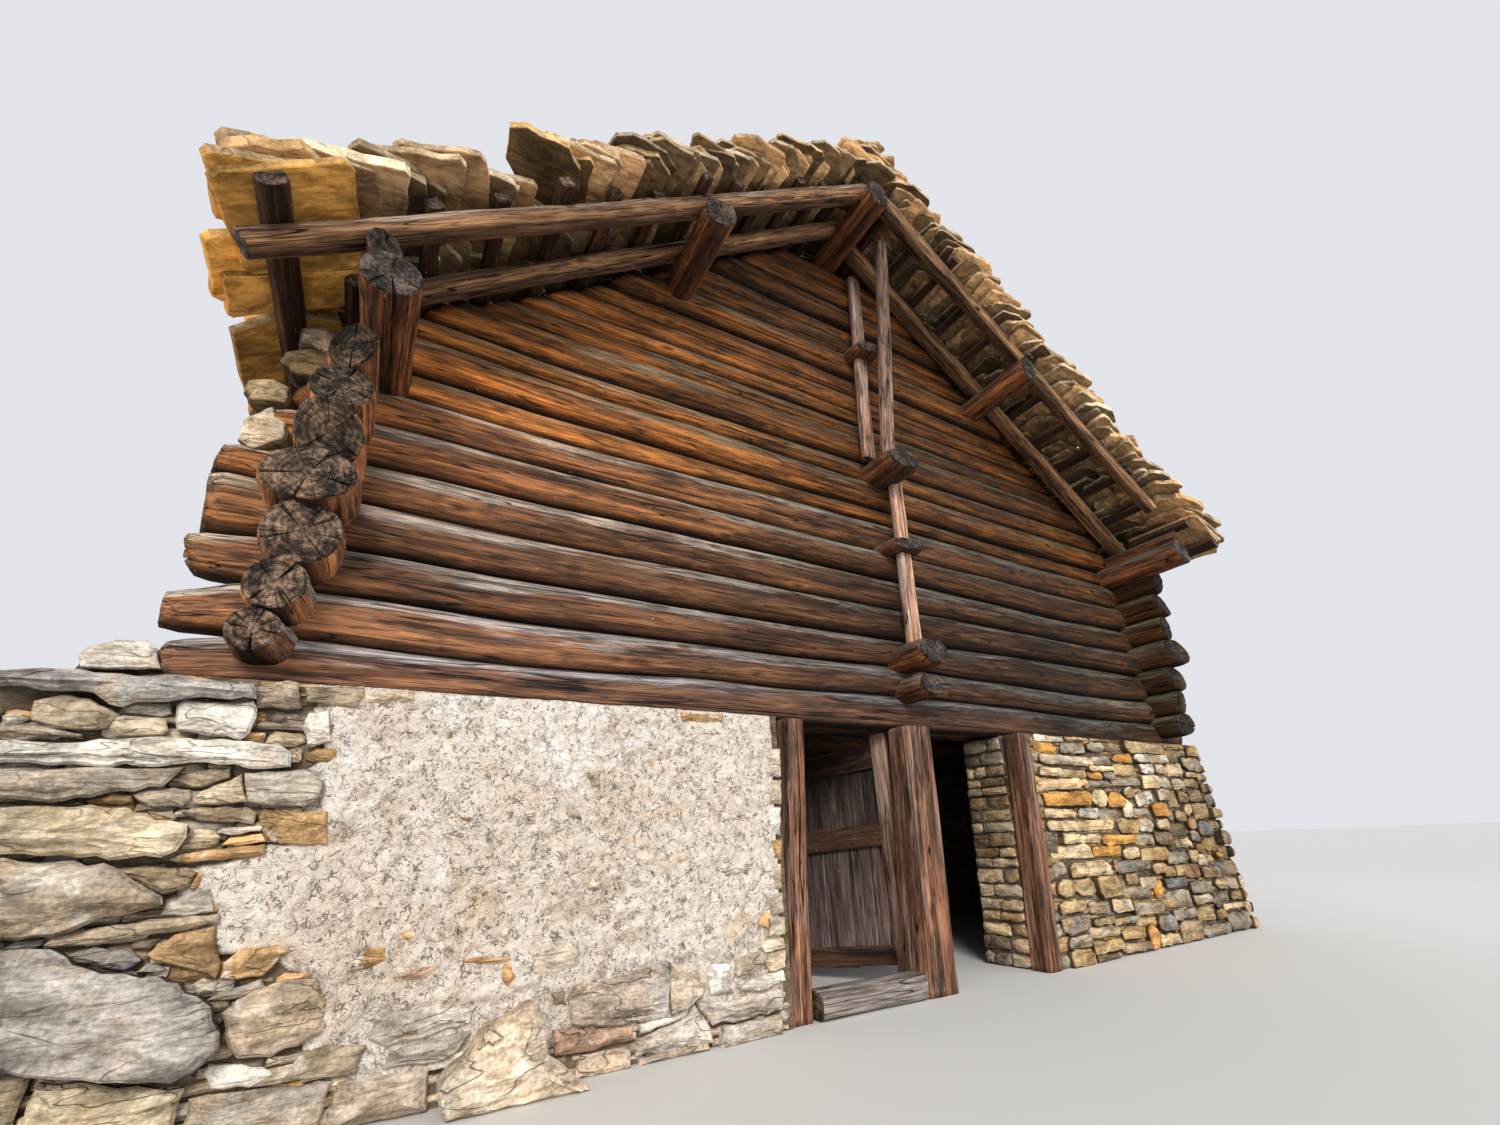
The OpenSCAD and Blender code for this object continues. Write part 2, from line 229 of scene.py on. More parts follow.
def tube(
    B,
    C,
    S,
    U,
    hw,
    hh,
    e=0.85,
    m=20,
    rough=0.004,
    groove=0.0015,
    seed=0,
    shape=None,
    tilt0=(0.0, 0.0),
    tilt1=(0.0, 0.0),
    chamfer=0.012,
    rnd=None,
    xf=None,
    splits=(),
    fine_ends=(False, False),
    tilt_len=0.3,
    ends=(1.0, 1.0),
):
    """A timber along the centres C with side and up vectors S, U and half sizes hw, hh.
    splits are drying checks: (angle, from, to, depth, width) along its length."""
    C = np.asarray(C, float)
    n = len(C)
    S = np.broadcast_to(np.asarray(S, float), (n, 3))
    U = np.broadcast_to(np.asarray(U, float), (n, 3))
    hw = np.broadcast_to(np.asarray(hw, float), (n,)).astype(float)
    hh = np.broadcast_to(np.asarray(hh, float), (n,)).astype(float)
    e = np.broadcast_to(np.asarray(e, float), (n,))
    L = np.concatenate([[0], np.cumsum(np.linalg.norm(np.diff(C, axis=0), axis=1))])
    phi = [(a, -1) for a in np.linspace(0, 2 * np.pi, m, endpoint=False) + np.pi / m]
    rmean = float((hw.mean() + hh.mean()) / 2)
    for i, sp in enumerate(splits):
        a = sp[0] % (2 * np.pi)
        dw = sp[4] / 2 / rmean
        phi = [q for q in phi if abs((q[0] - a + np.pi) % (2 * np.pi) - np.pi) > dw * 1.7]
        phi += [((a - dw) % (2 * np.pi), -1), (a, i), ((a + dw) % (2 * np.pi), -1)]
    phi.sort(key=lambda q: q[0])
    which = np.array([q[1] for q in phi])
    phi = np.array([q[0] for q in phi])
    m = len(phi)
    c, s = np.cos(phi), np.sin(phi)
    if rnd is None:
        rnd = B.rng.random(3)
    off = np.array([rnd[0] * 37.0, rnd[1] * 11.0, rnd[2] * 13.0])
    ee = e[:, None]
    X = hw[:, None] * np.sign(c)[None] * np.abs(c)[None] ** ee
    Z = hh[:, None] * np.sign(s)[None] * np.abs(s)[None] ** ee
    q = np.stack([np.broadcast_to(L[:, None], X.shape), X, Z], -1)
    d = rough * fbm(q * np.array([2.2, 11, 11]) + off, 3, seed)
    if groove:
        d = d + groove * noise3(q * np.array([0.9, 55, 55]) + off, seed + 5)
    D = np.zeros_like(X)
    for i, sp in enumerate(splits):
        lo = -1.0 if sp[1] <= 0 else sp[1]
        hi = 2 * L[-1] if sp[2] >= L[-1] else sp[2]
        win = smooth(L, lo, lo + 0.25) * (1 - smooth(L, hi - 0.25, hi))
        win = win * (0.75 + 0.25 * noise3(np.stack([L * 5, np.full(n, i * 3.3), np.zeros(n)], -1), seed))
        D[:, which == i] = (sp[3] * win)[:, None]
    r = np.sqrt(X * X + Z * Z) + 1e-9
    X1 = X + (d - D) * X / r
    Z1 = Z + (d - D) * Z / r
    V = C[:, None] + S[:, None] * X1[..., None] + U[:, None] * Z1[..., None]
    LP = np.stack([np.broadcast_to(L[:, None], X.shape), X, Z], -1)
    zn = Z / np.maximum(hh[:, None], 1e-6)
    CR = np.stack([X, Z, zn], -1)
    T0 = unit(C[0] - C[1])
    T1 = unit(C[-1] - C[-2])
    for T, tl, dist in ((T0, tilt0, L), (T1, tilt1, L[-1] - L)):
        if tl[0] or tl[1]:
            ln = max(tilt_len, 2.5 * max(abs(tl[0]) * hw.max(), abs(tl[1]) * hh.max()))
            w = np.clip(1 - dist / ln, 0, 1)[:, None]
            V += T * ((tl[0] * X + tl[1] * Z) * w)[..., None]
    verts = [V.reshape(-1, 3)]
    lps = [LP.reshape(-1, 3)]
    crs = [CR.reshape(-1, 3)]
    a = np.arange(n - 1)[:, None] * m
    j = np.arange(m)[None]
    j2 = (j + 1) % m
    quads = [np.stack([a + j, a + m + j, a + m + j2, a + j2], -1).reshape(-1, 4)]
    qe = [np.zeros((n - 1) * m)]
    tris, te = [], []
    base = n * m
    for side, k, T, tl in ((0, 0, T0, tilt0), (1, n - 1, T1, tilt1)):
        prev = k * m
        rings = (0.965, 0.85, 0.68, 0.5, 0.32, 0.15) if fine_ends[side] else (0.95, 0.55, 0.2)
        for f in rings:
            Xr, Zr = X1[k] * f, Z1[k] * f
            nz = (0.008 if fine_ends[side] else 0.005) * fbm(np.stack([Xr * 20, Zr * 20, np.full_like(Xr, seed * 1.7 + side)], -1), 2, seed)
            cut = 1.3 * D[k] * (f**0.6) if f > 0.25 else 0.0 * D[k]
            lift = chamfer + nz - cut + tl[0] * X[k] * f + tl[1] * Z[k] * f
            P = C[k] + S[k] * Xr[:, None] + U[k] * Zr[:, None] + T * lift[:, None]
            verts.append(P)
            lps.append(np.stack([np.full_like(Xr, L[k]), Xr, Zr], -1))
            crs.append(np.stack([Xr, Zr, zn[k] * f], -1))
            jj = np.arange(m)
            jn = (jj + 1) % m
            if side:
                qd = np.stack([prev + jj, base + jj, base + jn, prev + jn], -1)
            else:
                qd = np.stack([prev + jn, base + jn, base + jj, prev + jj], -1)
            quads.append(qd)
            qe.append(np.full(m, ends[side]))
            prev = base
            base += m
        verts.append((C[k] + T * chamfer)[None])
        lps.append(np.array([[L[k], 0, 0]]))
        crs.append(np.zeros((1, 3)))
        jj = np.arange(m)
        jn = (jj + 1) % m
        ctr = np.full(m, base)
        tris.append(np.stack([prev + jj, ctr, prev + jn], -1) if side else np.stack([prev + jn, ctr, prev + jj], -1))
        te.append(np.full(m, ends[side]))
        base += 1
    V = np.concatenate(verts)
    if shape is not None:
        V = shape(V)
    if xf is not None:
        V = xf(V)
    B.add(
        V,
        np.concatenate(quads),
        np.concatenate(tris),
        np.concatenate(lps) + off,
        np.concatenate(crs),
        rnd,
        np.concatenate(qe),
        np.concatenate(te),
    )


def end_checks(rng, count, depth, run, width=0.012):
    """Radial cracks that open at the near end of a log."""
    a = rng.uniform(0, 2 * np.pi) + np.arange(count) * 2 * np.pi / count
    return [(x + rng.uniform(-0.3, 0.3), 0.0, run * rng.uniform(0.5, 1.2), depth * rng.uniform(0.5, 1.2), width * rng.uniform(0.8, 1.5)) for x in a]


def stick(B, p0, p1, up, w, h, n=30, wob=0.0, taper=0.0, seed=0, **kw):
    """A straight timber from p0 to p1; w and h are full sizes, up says which way h lies."""
    p0, p1 = np.asarray(p0, float), np.asarray(p1, float)
    t = np.linspace(0, 1, n)
    T = unit(p1 - p0)
    U = unit(np.asarray(up, float) - T * np.dot(up, T))
    S = np.cross(U, T)
    C = p0 + (p1 - p0) * t[:, None]
    Lr = np.linalg.norm(p1 - p0)
    if wob:
        a = noise3(np.stack([t * Lr * 0.6, np.full(n, seed * 3.1), np.zeros(n)], -1), 3)
        b = noise3(np.stack([t * Lr * 0.6, np.full(n, seed * 5.3), np.ones(n)], -1), 4)
        C = C + S * (a * wob)[:, None] + U * (b * wob)[:, None]
    k = 1 + taper * (0.5 - t)
    v = 1 + 0.035 * noise3(np.stack([t * Lr * 1.3, np.full(n, seed * 2.7), np.zeros(n)], -1), 9)
    tube(B, C, S, U, w / 2 * k * v, h / 2 * k * v, seed=seed, **kw)


def grid_box(nx, ny, nz):
    """Closed box from -1 to 1 with shared corners: vertices and quads."""
    pts, faces, index = [], [], {}

    def vid(i, j, k):
        key = (i, j, k)
        if key not in index:
            index[key] = len(pts)
            pts.append((2 * i / nx - 1, 2 * j / ny - 1, 2 * k / nz - 1))
        return index[key]

    for i in range(nx):
        for j in range(ny):
            faces.append([vid(i, j, 0), vid(i, j + 1, 0), vid(i + 1, j + 1, 0), vid(i + 1, j, 0)])
            faces.append([vid(i, j, nz), vid(i + 1, j, nz), vid(i + 1, j + 1, nz), vid(i, j + 1, nz)])
    for i in range(nx):
        for k in range(nz):
            faces.append([vid(i, 0, k), vid(i + 1, 0, k), vid(i + 1, 0, k + 1), vid(i, 0, k + 1)])
            faces.append([vid(i, ny, k), vid(i, ny, k + 1), vid(i + 1, ny, k + 1), vid(i + 1, ny, k)])
    for j in range(ny):
        for k in range(nz):
            faces.append([vid(0, j, k), vid(0, j, k + 1), vid(0, j + 1, k + 1), vid(0, j + 1, k)])
            faces.append([vid(nx, j, k), vid(nx, j + 1, k), vid(nx, j + 1, k + 1), vid(nx, j, k + 1)])
    return np.array(pts, float), np.array(faces, np.int64)


def outline(rs, a, b, skew=0.07, cut=0.5, big=0.3):
    """A rough four-sided outline a by b with some corners broken off, turning left."""
    out = []
    lim = min(a, b)
    for i, (sx, sy) in enumerate(((-1, -1), (1, -1), (1, 1), (-1, 1))):
        x = sx * a / 2 + rs.uniform(-1, 0.4) * sx * skew * lim
        y = sy * b / 2 + rs.uniform(-1, 0.4) * sy * skew * lim
        if rs.random() < cut:
            u = min(rs.uniform(0.12, big + 0.15) * lim * 1.3, a * 0.4)
            v = min(rs.uniform(0.1, big) * lim, b * 0.4)
        else:
            u = v = 0.07 * lim
        p, q = (x, y - v * sy), (x - u * sx, y)
        out += [p, q] if i % 2 == 0 else [q, p]
    return np.array(out)


def resample(poly, step, jit, rs):
    pts = []
    n = len(poly)
    for i in range(n):
        p, q = poly[i], poly[(i + 1) % n]
        d = q - p
        ln = float(np.hypot(*d))
        k = max(1, int(math.ceil(ln / step)))
        nr = np.array([d[1], -d[0]]) / max(ln, 1e-9)
        for t in range(k):
            r = p + d * t / k
            if t:
                r = r + nr * rs.uniform(-1.0, 0.7) * jit
            pts.append(r)
    return np.array(pts)


def lump(B, poly, depth, place, rs, cham=0.018, bulge=0.01, amp=0.005, step=0.09, jit=0.008, rnd=None, fine=1, freq=9.0, both=False, ledge=0.0, zmin=None):
    """A split stone: outline poly in (a, b), its face at c = 0 looking to +c and its body behind.
    fine 0, 1, 2 sets how many rings of points the face has; both gives the back a face too."""
    P = resample(np.asarray(poly, float), step, jit, rs)
    n = len(P)
    c = P.mean(0)
    e1 = P - np.roll(P, 1, 0)
    e2 = np.roll(P, -1, 0) - P
    e1 = e1 / np.maximum(np.linalg.norm(e1, axis=1, keepdims=True), 1e-9)
    e2 = e2 / np.maximum(np.linalg.norm(e2, axis=1, keepdims=True), 1e-9)
    t = e1 + e2
    t = t / np.maximum(np.linalg.norm(t, axis=1, keepdims=True), 1e-6)
    inn = np.stack([-t[:, 1], t[:, 0]], 1)
    reach = np.linalg.norm(P - c, axis=1, keepdims=True)

    def inset(d):
        Q = P + inn * np.minimum(d, 0.35 * reach)
        return Q

    off = rs.uniform(0, 60, 3)
    size = math.sqrt(max((np.ptp(P[:, 0]) * np.ptp(P[:, 1])), 1e-6))
    cham = min(cham, 0.2 * min(np.ptp(P[:, 0]), np.ptp(P[:, 1])), 0.45 * depth)
    face0 = inset(cham * 1.15)
    fr = [(0.64, 0.7), (0.3, 1.0)] if fine == 1 else ([(0.82, 0.45), (0.6, 0.8), (0.38, 1.0), (0.17, 1.0)] if fine == 2 else [(0.5, 0.8)])
    front = [(P, -cham)]
    if fine:
        front.append((inset(cham * 0.4), -cham * 0.32))
    front.append((face0, 0.0))
    for f, h in fr:
        front.append((c + (face0 - c) * f, bulge * h))
    back = []
    if both:
        back = [(c + (face0 - c) * 0.5, -depth), (inset(cham * 0.8), -depth), (P, -depth + cham)]
    else:
        back = [(inset(min(0.02, 0.1 * size)), -depth)]
    rings = back + front
    V, Q = [], []
    for i, (R, h) in enumerate(rings):
        hh = np.full(n, float(h))
        q = np.stack([R[:, 0], R[:, 1], np.full(n, h * 0.5)], 1) + off
        k = amp * (1.0 if (h >= -1e-9 or both) else 0.3)
        hh = hh + k * fbm(q * freq, 3, 3)
        R2 = R + (0.35 * amp * np.stack([noise3(q * freq * 1.7, 5), noise3(q * freq * 1.7, 6)], 1))
        if ledge and h >= -1e-9:
            hh = hh + ledge * _hash(np.floor((R[:, 1] + 0.01 * noise3(q * 7, 2)) / 0.035).astype(np.int64), np.full(n, 3), np.full(n, 5), int(off[0] * 1000))
        V.append(np.column_stack([R2, hh]))
    V = np.concatenate(V)
    j = np.arange(n)
    jn = (j + 1) % n
    for i in range(len(rings) - 1):
        Q.append(np.stack([i * n + j, i * n + jn, (i + 1) * n + jn, (i + 1) * n + j], 1))
    top = len(V)
    b0 = V[:n].mean(0)
    f0 = V[-n:].mean(0)
    V = np.concatenate([V, b0[None], f0[None]])
    T = np.concatenate([np.stack([np.full(n, top), jn, j], 1), np.stack([np.full(n, top + 1), (len(rings) - 1) * n + j, (len(rings) - 1) * n + jn], 1)])
    W = place(V)
    if zmin is not None:
        W[:, 2] = np.maximum(W[:, 2], zmin)
    if rnd is None:
        rnd = rs.random(3)
    B.add(W, np.concatenate(Q), T, lp=V + off, cr=V, rnd=rnd)


def on_face(p, t, n, turn=0.0):
    """Place for a stone whose (a, b, c) run along the wall, up and outwards."""
    p, t, n = (np.asarray(x, float) for x in (p, t, n))
    c, s = math.cos(turn), math.sin(turn)
    tt = t * c + n * s
    nn = n * c - t * s
    up = np.array([0.0, 0.0, 1.0])
    return lambda V: p + V[:, :1] * tt + V[:, 1:2] * up + V[:, 2:3] * nn


def laid_flat(p, turn=0.0, pitch_=0.0, roll=0.0):
    """Place for a stone lying on its bed with (a, b, c) along X, Y and Z, then turned."""
    p = np.asarray(p, float)
    c, s = math.cos(turn), math.sin(turn)

    def f(V):
        x, y, z = V[:, 0], V[:, 1], V[:, 2]
        z2 = z + x * math.tan(pitch_) + y * math.tan(roll)
        return p + np.column_stack([x * c - y * s, x * s + y * c, z2])

    return f


# ------------------------------------------------------------------
# materials
# ------------------------------------------------------------------
class Mat:
    def __init__(self, name, roughness=0.85, specular=0.25):
        self.m = bpy.data.materials.new(name)
        self.m.use_nodes = True
        self.nt = self.m.node_tree
        self.nt.nodes.clear()
        self.out = self.nt.nodes.new("ShaderNodeOutputMaterial")
        self.b = self.nt.nodes.new("ShaderNodeBsdfPrincipled")
        self.b.inputs["Roughness"].default_value = roughness
        self.b.inputs["Specular IOR Level"].default_value = specular
        self.nt.links.new(self.b.outputs[0], self.out.inputs[0])

    def put(self, sock, v):
        if isinstance(v, bpy.types.NodeSocket):
            self.nt.links.new(v, sock)
        elif isinstance(v, (tuple, list)):
            if len(v) == 3 and sock.type == "RGBA":
                v = (*v, 1.0)
            sock.default_value = v
        else:
            sock.default_value = v

    def attr(self, name, out="Vector"):
        n = self.nt.nodes.new("ShaderNodeAttribute")
        n.attribute_name = name
        return n.outputs[out]

    def object_co(self):
        return self.nt.nodes.new("ShaderNodeTexCoord").outputs["Object"]

    def normal_z(self):
        g = self.nt.nodes.new("ShaderNodeNewGeometry")
        return self.split(g.outputs["Normal"])[2]

    def split(self, v):
        n = self.nt.nodes.new("ShaderNodeSeparateXYZ")
        self.put(n.inputs[0], v)
        return n.outputs[0], n.outputs[1], n.outputs[2]

    def join(self, x, y, z):
        n = self.nt.nodes.new("ShaderNodeCombineXYZ")
        for i, v in enumerate((x, y, z)):
            self.put(n.inputs[i], v)
        return n.outputs[0]

    def vec(self, op, a, b=None):
        n = self.nt.nodes.new("ShaderNodeVectorMath")
        n.operation = op
        self.put(n.inputs[0], a)
        if b is not None:
            self.put(n.inputs[1], b)
        return n.outputs["Value"] if op in ("LENGTH", "DOT_PRODUCT", "DISTANCE") else n.outputs[0]

    def math(self, op, a, b=None, clamp=False):
        n = self.nt.nodes.new("ShaderNodeMath")
        n.operation = op
        n.use_clamp = clamp
        self.put(n.inputs[0], a)
        if b is not None:
            self.put(n.inputs[1], b)
        return n.outputs[0]

    def add(self, *terms):
        """Sum of (socket, factor) pairs and plain numbers."""
        out = None
        const = 0.0
        for t in terms:
            if isinstance(t, (int, float)):
                const += t
                continue
            s, k = t if isinstance(t, tuple) else (t, 1.0)
            v = s if k == 1.0 else self.math("MULTIPLY", s, k)
            out = v if out is None else self.math("ADD", out, v)
        return self.math("ADD", out, const) if const else out

    def noise(self, v, scale, detail=3.0, rough=0.55, dist=0.0, out="Fac"):
        n = self.nt.nodes.new("ShaderNodeTexNoise")
        self.put(n.inputs["Vector"], v)
        n.inputs["Scale"].default_value = scale
        n.inputs["Detail"].default_value = detail
        n.inputs["Roughness"].default_value = rough
        n.inputs["Distortion"].default_value = dist
        return n.outputs[0] if out == "Fac" else n.outputs[1]

    def voronoi(self, v, scale, feature="F1", rand=1.0):
        n = self.nt.nodes.new("ShaderNodeTexVoronoi")
        n.feature = feature
        self.put(n.inputs["Vector"], v)
        n.inputs["Scale"].default_value = scale
        n.inputs["Randomness"].default_value = rand
        return n.outputs["Distance"], (n.outputs["Color"] if feature != "DISTANCE_TO_EDGE" else None)

    def ramp(self, f, stops, interp="LINEAR"):
        n = self.nt.nodes.new("ShaderNodeValToRGB")
        self.put(n.inputs[0], f)
        r = n.color_ramp
        r.interpolation = interp
        while len(r.elements) < len(stops):
            r.elements.new(0.5)
        for e, (p, c) in zip(r.elements, stops):
            e.position = p
            e.color = (*c, 1.0) if len(c) == 3 else c
        return n.outputs[0]

    def step(self, f, a, b):
        """0 below a, 1 above b, smooth between (a may be above b)."""
        n = self.nt.nodes.new("ShaderNodeMapRange")
        n.interpolation_type = "SMOOTHSTEP"
        self.put(n.inputs["Value"], f)
        if a < b:
            n.inputs["From Min"].default_value, n.inputs["From Max"].default_value = a, b
        else:
            n.inputs["From Min"].default_value, n.inputs["From Max"].default_value = b, a
            n.inputs["To Min"].default_value, n.inputs["To Max"].default_value = 1.0, 0.0
        return n.outputs["Result"]

    def span(self, f, a, b, lo, hi):
        n = self.nt.nodes.new("ShaderNodeMapRange")
        self.put(n.inputs["Value"], f)
        n.inputs["From Min"].default_value, n.inputs["From Max"].default_value = a, b
        n.inputs["To Min"].default_value, n.inputs["To Max"].default_value = lo, hi
        return n.outputs["Result"]

    def mix(self, f, a, b, blend="MIX"):
        n = self.nt.nodes.new("ShaderNodeMix")
        n.data_type = "RGBA"
        n.blend_type = blend
        self.put(n.inputs[0], f)
        self.put(n.inputs[6], a)
        self.put(n.inputs[7], b)
        return n.outputs[2]

    def line(self, f, width):
        """1 on the line where f is a half, falling to 0 at width from it."""
        d = self.math("ABSOLUTE", self.math("SUBTRACT", f, 0.5))
        return self.step(d, width, 0.0)

    def bump(self, height, strength=0.6, distance=0.01, normal=None):
        n = self.nt.nodes.new("ShaderNodeBump")
        n.inputs["Strength"].default_value = strength
        n.inputs["Distance"].default_value = distance
        self.put(n.inputs["Height"], height)
        if normal is not None:
            self.put(n.inputs["Normal"], normal)
        return n.outputs[0]

    def done(self, color, normal=None, rough=None):
        self.put(self.b.inputs["Base Color"], color)
        if normal is not None:
            self.put(self.b.inputs["Normal"], normal)
        if rough is not None:
            self.put(self.b.inputs["Roughness"], rough)
        return self.m


def scaled(c, k):
    return tuple(x * k for x in c)


def wood(
    name,
    light=(0.38, 0.17, 0.075),
    middle=(0.17, 0.082, 0.045),
    dark=(0.04, 0.023, 0.016),
    grey_light=(0.46, 0.39, 0.33),
    grey_dark=(0.12, 0.092, 0.075),
    grey=0.95,
    bias=0.0,
    height=0.6,
    seam_shade=0.9,
    band_light_and_shade=0.45,
    end_light=(0.25, 0.165, 0.115),
    end_dark=(0.018, 0.013, 0.011),
    knots=0.8,
    cracks=1.0,
    bump=1.0,
    flecks=0.5,
    soot=0.6,
    painted_light_fade=False,
    height_shade=None,
    coords=None,
):
    """Old hewn timber: streaked grain, checks and knots, silvered on its upper side, brown below with a painted light
    band and painted shade at its foot, painted shade where it meets its neighbours, dark cracked ends, and where asked
    painted light and shade that change across the wall and with height."""
    M = Mat(name, roughness=0.8, specular=0.22)
    p = M.attr("lp") if coords is None else coords(M)
    rx, ry, rz = M.split(M.attr("rn"))
    cr = M.attr("cr")
    cx, cy, t = M.split(cr)
    endf = M.attr("endf", "Fac")
    side = M.math("SUBTRACT", 1.0, endf)
    big = M.noise(M.vec("MULTIPLY", p, (0.6, 2.4, 2.4)), 1.0, 3)
    mid_ = M.noise(M.vec("MULTIPLY", p, (0.8, 9, 9)), 1.0, 4, 0.6, 0.4)
    streak = M.noise(M.vec("MULTIPLY", p, (2.2, 30, 30)), 1.0, 5, 0.66, 0.5)
    fine = M.noise(M.vec("MULTIPLY", p, (9, 150, 150)), 1.0, 3, 0.6)
    blot = M.noise(M.vec("MULTIPLY", M.vec("ADD", p, (3, 7, 1)), (3.2, 9, 9)), 1.0, 4, 0.62, 0.6)
    tone = M.add((streak, 1.15), (mid_, 0.7), (blot, 0.4), (big, 0.25), (fine, 0.45), -0.975)
    warm = M.ramp(tone, [(0.26, dark), (0.47, middle), (0.74, light)])
    warm = M.mix(1.0, warm, M.ramp(rx, [(0.0, (0.66, 0.66, 0.68)), (0.5, (1.0, 1.0, 1.0)), (1.0, (1.3, 1.2, 1.14))]), "MULTIPLY")
    # painted light and shade across each log: brighter orange on its lower half, darker towards its foot and towards
    # its top
    if band_light_and_shade:
        g = M.ramp(M.span(t, -1.0, 1.0, 0.0, 1.0), [(0.0, (0.5, 0.46, 0.46)), (0.2, (1 + band_light_and_shade, 1 + band_light_and_shade * 0.8, 1 + band_light_and_shade * 0.35)), (0.5, (1.0, 1.0, 1.0)), (0.8, (0.72, 0.73, 0.76)), (1.0, (0.6, 0.6, 0.6))])
        warm = M.mix(side, warm, M.mix(1.0, warm, g, "MULTIPLY"))
    silver = M.ramp(M.add((streak, 1.3), (fine, 0.7), (mid_, 0.5), -0.75), [(0.28, grey_dark), (0.46, tuple((a + b) / 2.2 for a, b in zip(grey_light, grey_dark))), (0.7, scaled(grey_light, 1.12))])
    nz = M.normal_z()
    patch = M.noise(M.vec("MULTIPLY", p, (0.9, 8, 8)), 1.0, 4, 0.62)
    w = M.add((nz, 0.42), (t, height * 0.75), (patch, 2.1), -1.05, (ry, 0.3), -0.15, bias)
    w = M.math("MULTIPLY", M.step(w, 0.06, 0.36), grey)
    col = M.mix(w, warm, silver)
    if soot:
        so = M.noise(M.vec("MULTIPLY", M.vec("ADD", p, (11, 2, 5)), (1.1, 19, 19)), 1.0, 3, 0.6, 0.5)
        so = M.math("MULTIPLY", M.step(M.add(so, (big, 0.35), -0.175), 0.52, 0.62), soot)
        col = M.mix(so, col, M.mix(1.0, col, (0.22, 0.18, 0.16), "MULTIPLY"))
    # painted shade: the colour darkens to near black towards the top and foot of each log, where it meets its
    # neighbours
    if seam_shade:
        s = M.math("MULTIPLY", M.step(M.math("ABSOLUTE", t), 0.76, 0.98), seam_shade)
        s = M.math("MULTIPLY", s, side)
        col = M.mix(s, col, (0.01, 0.006, 0.004))
    # checks that run with the grain
    ck = M.noise(M.vec("MULTIPLY", p, (0.62, 17, 17)), 1.0, 1.0, 0.5, 0.2)
    where = M.step(M.noise(M.vec("MULTIPLY", p, (0.35, 3.0, 3.0)), 1.0, 1.0), 0.38, 0.5)
    crack = M.math("MULTIPLY", M.line(ck, 0.015), M.math("MULTIPLY", where, cracks))
    ck2 = M.noise(M.vec("MULTIPLY", p, (1.6, 52, 52)), 1.0, 1.0, 0.5, 0.1)
    hair = M.math("MULTIPLY", M.line(ck2, 0.022), 0.7 * cracks)
    # knots, longer along the grain
    kd, kc = M.voronoi(M.vec("MULTIPLY", p, (2.1, 5.2, 5.2)), 1.0)
    knot = M.math("MULTIPLY", M.step(kd, 0.15, 0.07), knots)
    halo = M.math("MULTIPLY", M.math("MULTIPLY", M.step(kd, 0.3, 0.2), M.step(kd, 0.13, 0.2)), 0.55 * knots)
    col = M.mix(halo, col, M.mix(1.0, col, (1.75, 1.55, 1.35), "MULTIPLY"))
    col = M.mix(M.math("MULTIPLY", knot, 0.8), col, scaled(dark, 0.6))
    col = M.mix(M.math("MULTIPLY", hair, 0.8), col, scaled(dark, 0.45))
    col = M.mix(M.math("MULTIPLY", crack, 0.95), col, (0.01, 0.007, 0.005))
    if flecks:
        fd, _ = M.voronoi(M.vec("MULTIPLY", p, (9.0, 17.0, 17.0)), 1.0)
        fl = M.math("MULTIPLY", M.step(fd, 0.085, 0.05), flecks)
        fl = M.math("MULTIPLY", fl, M.step(patch, 0.45, 0.55))
        col = M.mix(fl, col, (0.62, 0.5, 0.38))
    # cut ends
    flat = M.join(cx, cy, 0.0)
    rad = M.vec("LENGTH", flat)
    ang = M.vec("NORMALIZE", flat)
    off = M.join(M.math("MULTIPLY", rx, 40.0), M.math("MULTIPLY", ry, 30.0), 0.0)
    wob = M.noise(M.vec("ADD", flat, off), 9.0, 3, 0.6)
    rays = M.noise(M.vec("ADD", M.vec("ADD", M.vec("MULTIPLY", ang, (1.15, 1.15, 1.15)), off), M.join(M.math("MULTIPLY", wob, 0.35), 0.0, 0.0)), 1.0, 1.0, 0.5)
    ray = M.math("MULTIPLY", M.line(rays, 0.0075), M.step(rad, 0.008, 0.05))
    rays2 = M.noise(M.vec("ADD", M.vec("ADD", M.vec("MULTIPLY", ang, (6.5, 6.5, 6.5)), off), M.join(M.math("MULTIPLY", wob, 0.8), 0.0, 0.0)), 1.0, 1.0, 0.5)
    ray2 = M.math("MULTIPLY", M.line(rays2, 0.022), M.math("MULTIPLY", M.step(wob, 0.42, 0.6), M.step(rad, 0.02, 0.09)))
    egr = M.noise(M.vec("ADD", flat, M.join(rx, ry, rz)), 26.0, 5, 0.7)
    rings = M.math("SINE", M.add((rad, 620.0), (wob, 24.0)))
    rings2 = M.math("SINE", M.add((rad, 210.0), (wob, 20.0)))
    bright = M.noise(M.vec("ADD", flat, M.join(rz, rx, ry)), 7.5, 3, 0.6, 0.5)
    ecol = M.ramp(M.add((egr, 0.55), (bright, 0.55), (rings, 0.03), (rings2, 0.03), -0.05), [(0.42, scaled(end_dark, 0.7)), (0.52, scaled(end_light, 0.34)), (0.63, end_light)])
    ecol = M.mix(M.math("MULTIPLY", ray2, 0.5), ecol, (0.012, 0.009, 0.007))
    ecol = M.mix(M.math("MULTIPLY", ray, 0.95), ecol, (0.006, 0.005, 0.004))
    col = M.mix(endf, col, ecol)
    # painted light and shade: brighter at the left of the wall, darker to the right and high up under the eaves; cut
    # ends darker with height; sides bluer low down and warmer high up
    if painted_light_fade:
        ox, oy, oz = M.split(M.object_co())
        light_fall_pos = M.add(ox, (M.math("MAXIMUM", M.add(oz, -4.0), 0.0), 1.1), (M.math("SUBTRACT", patch, 0.5), 2.0))
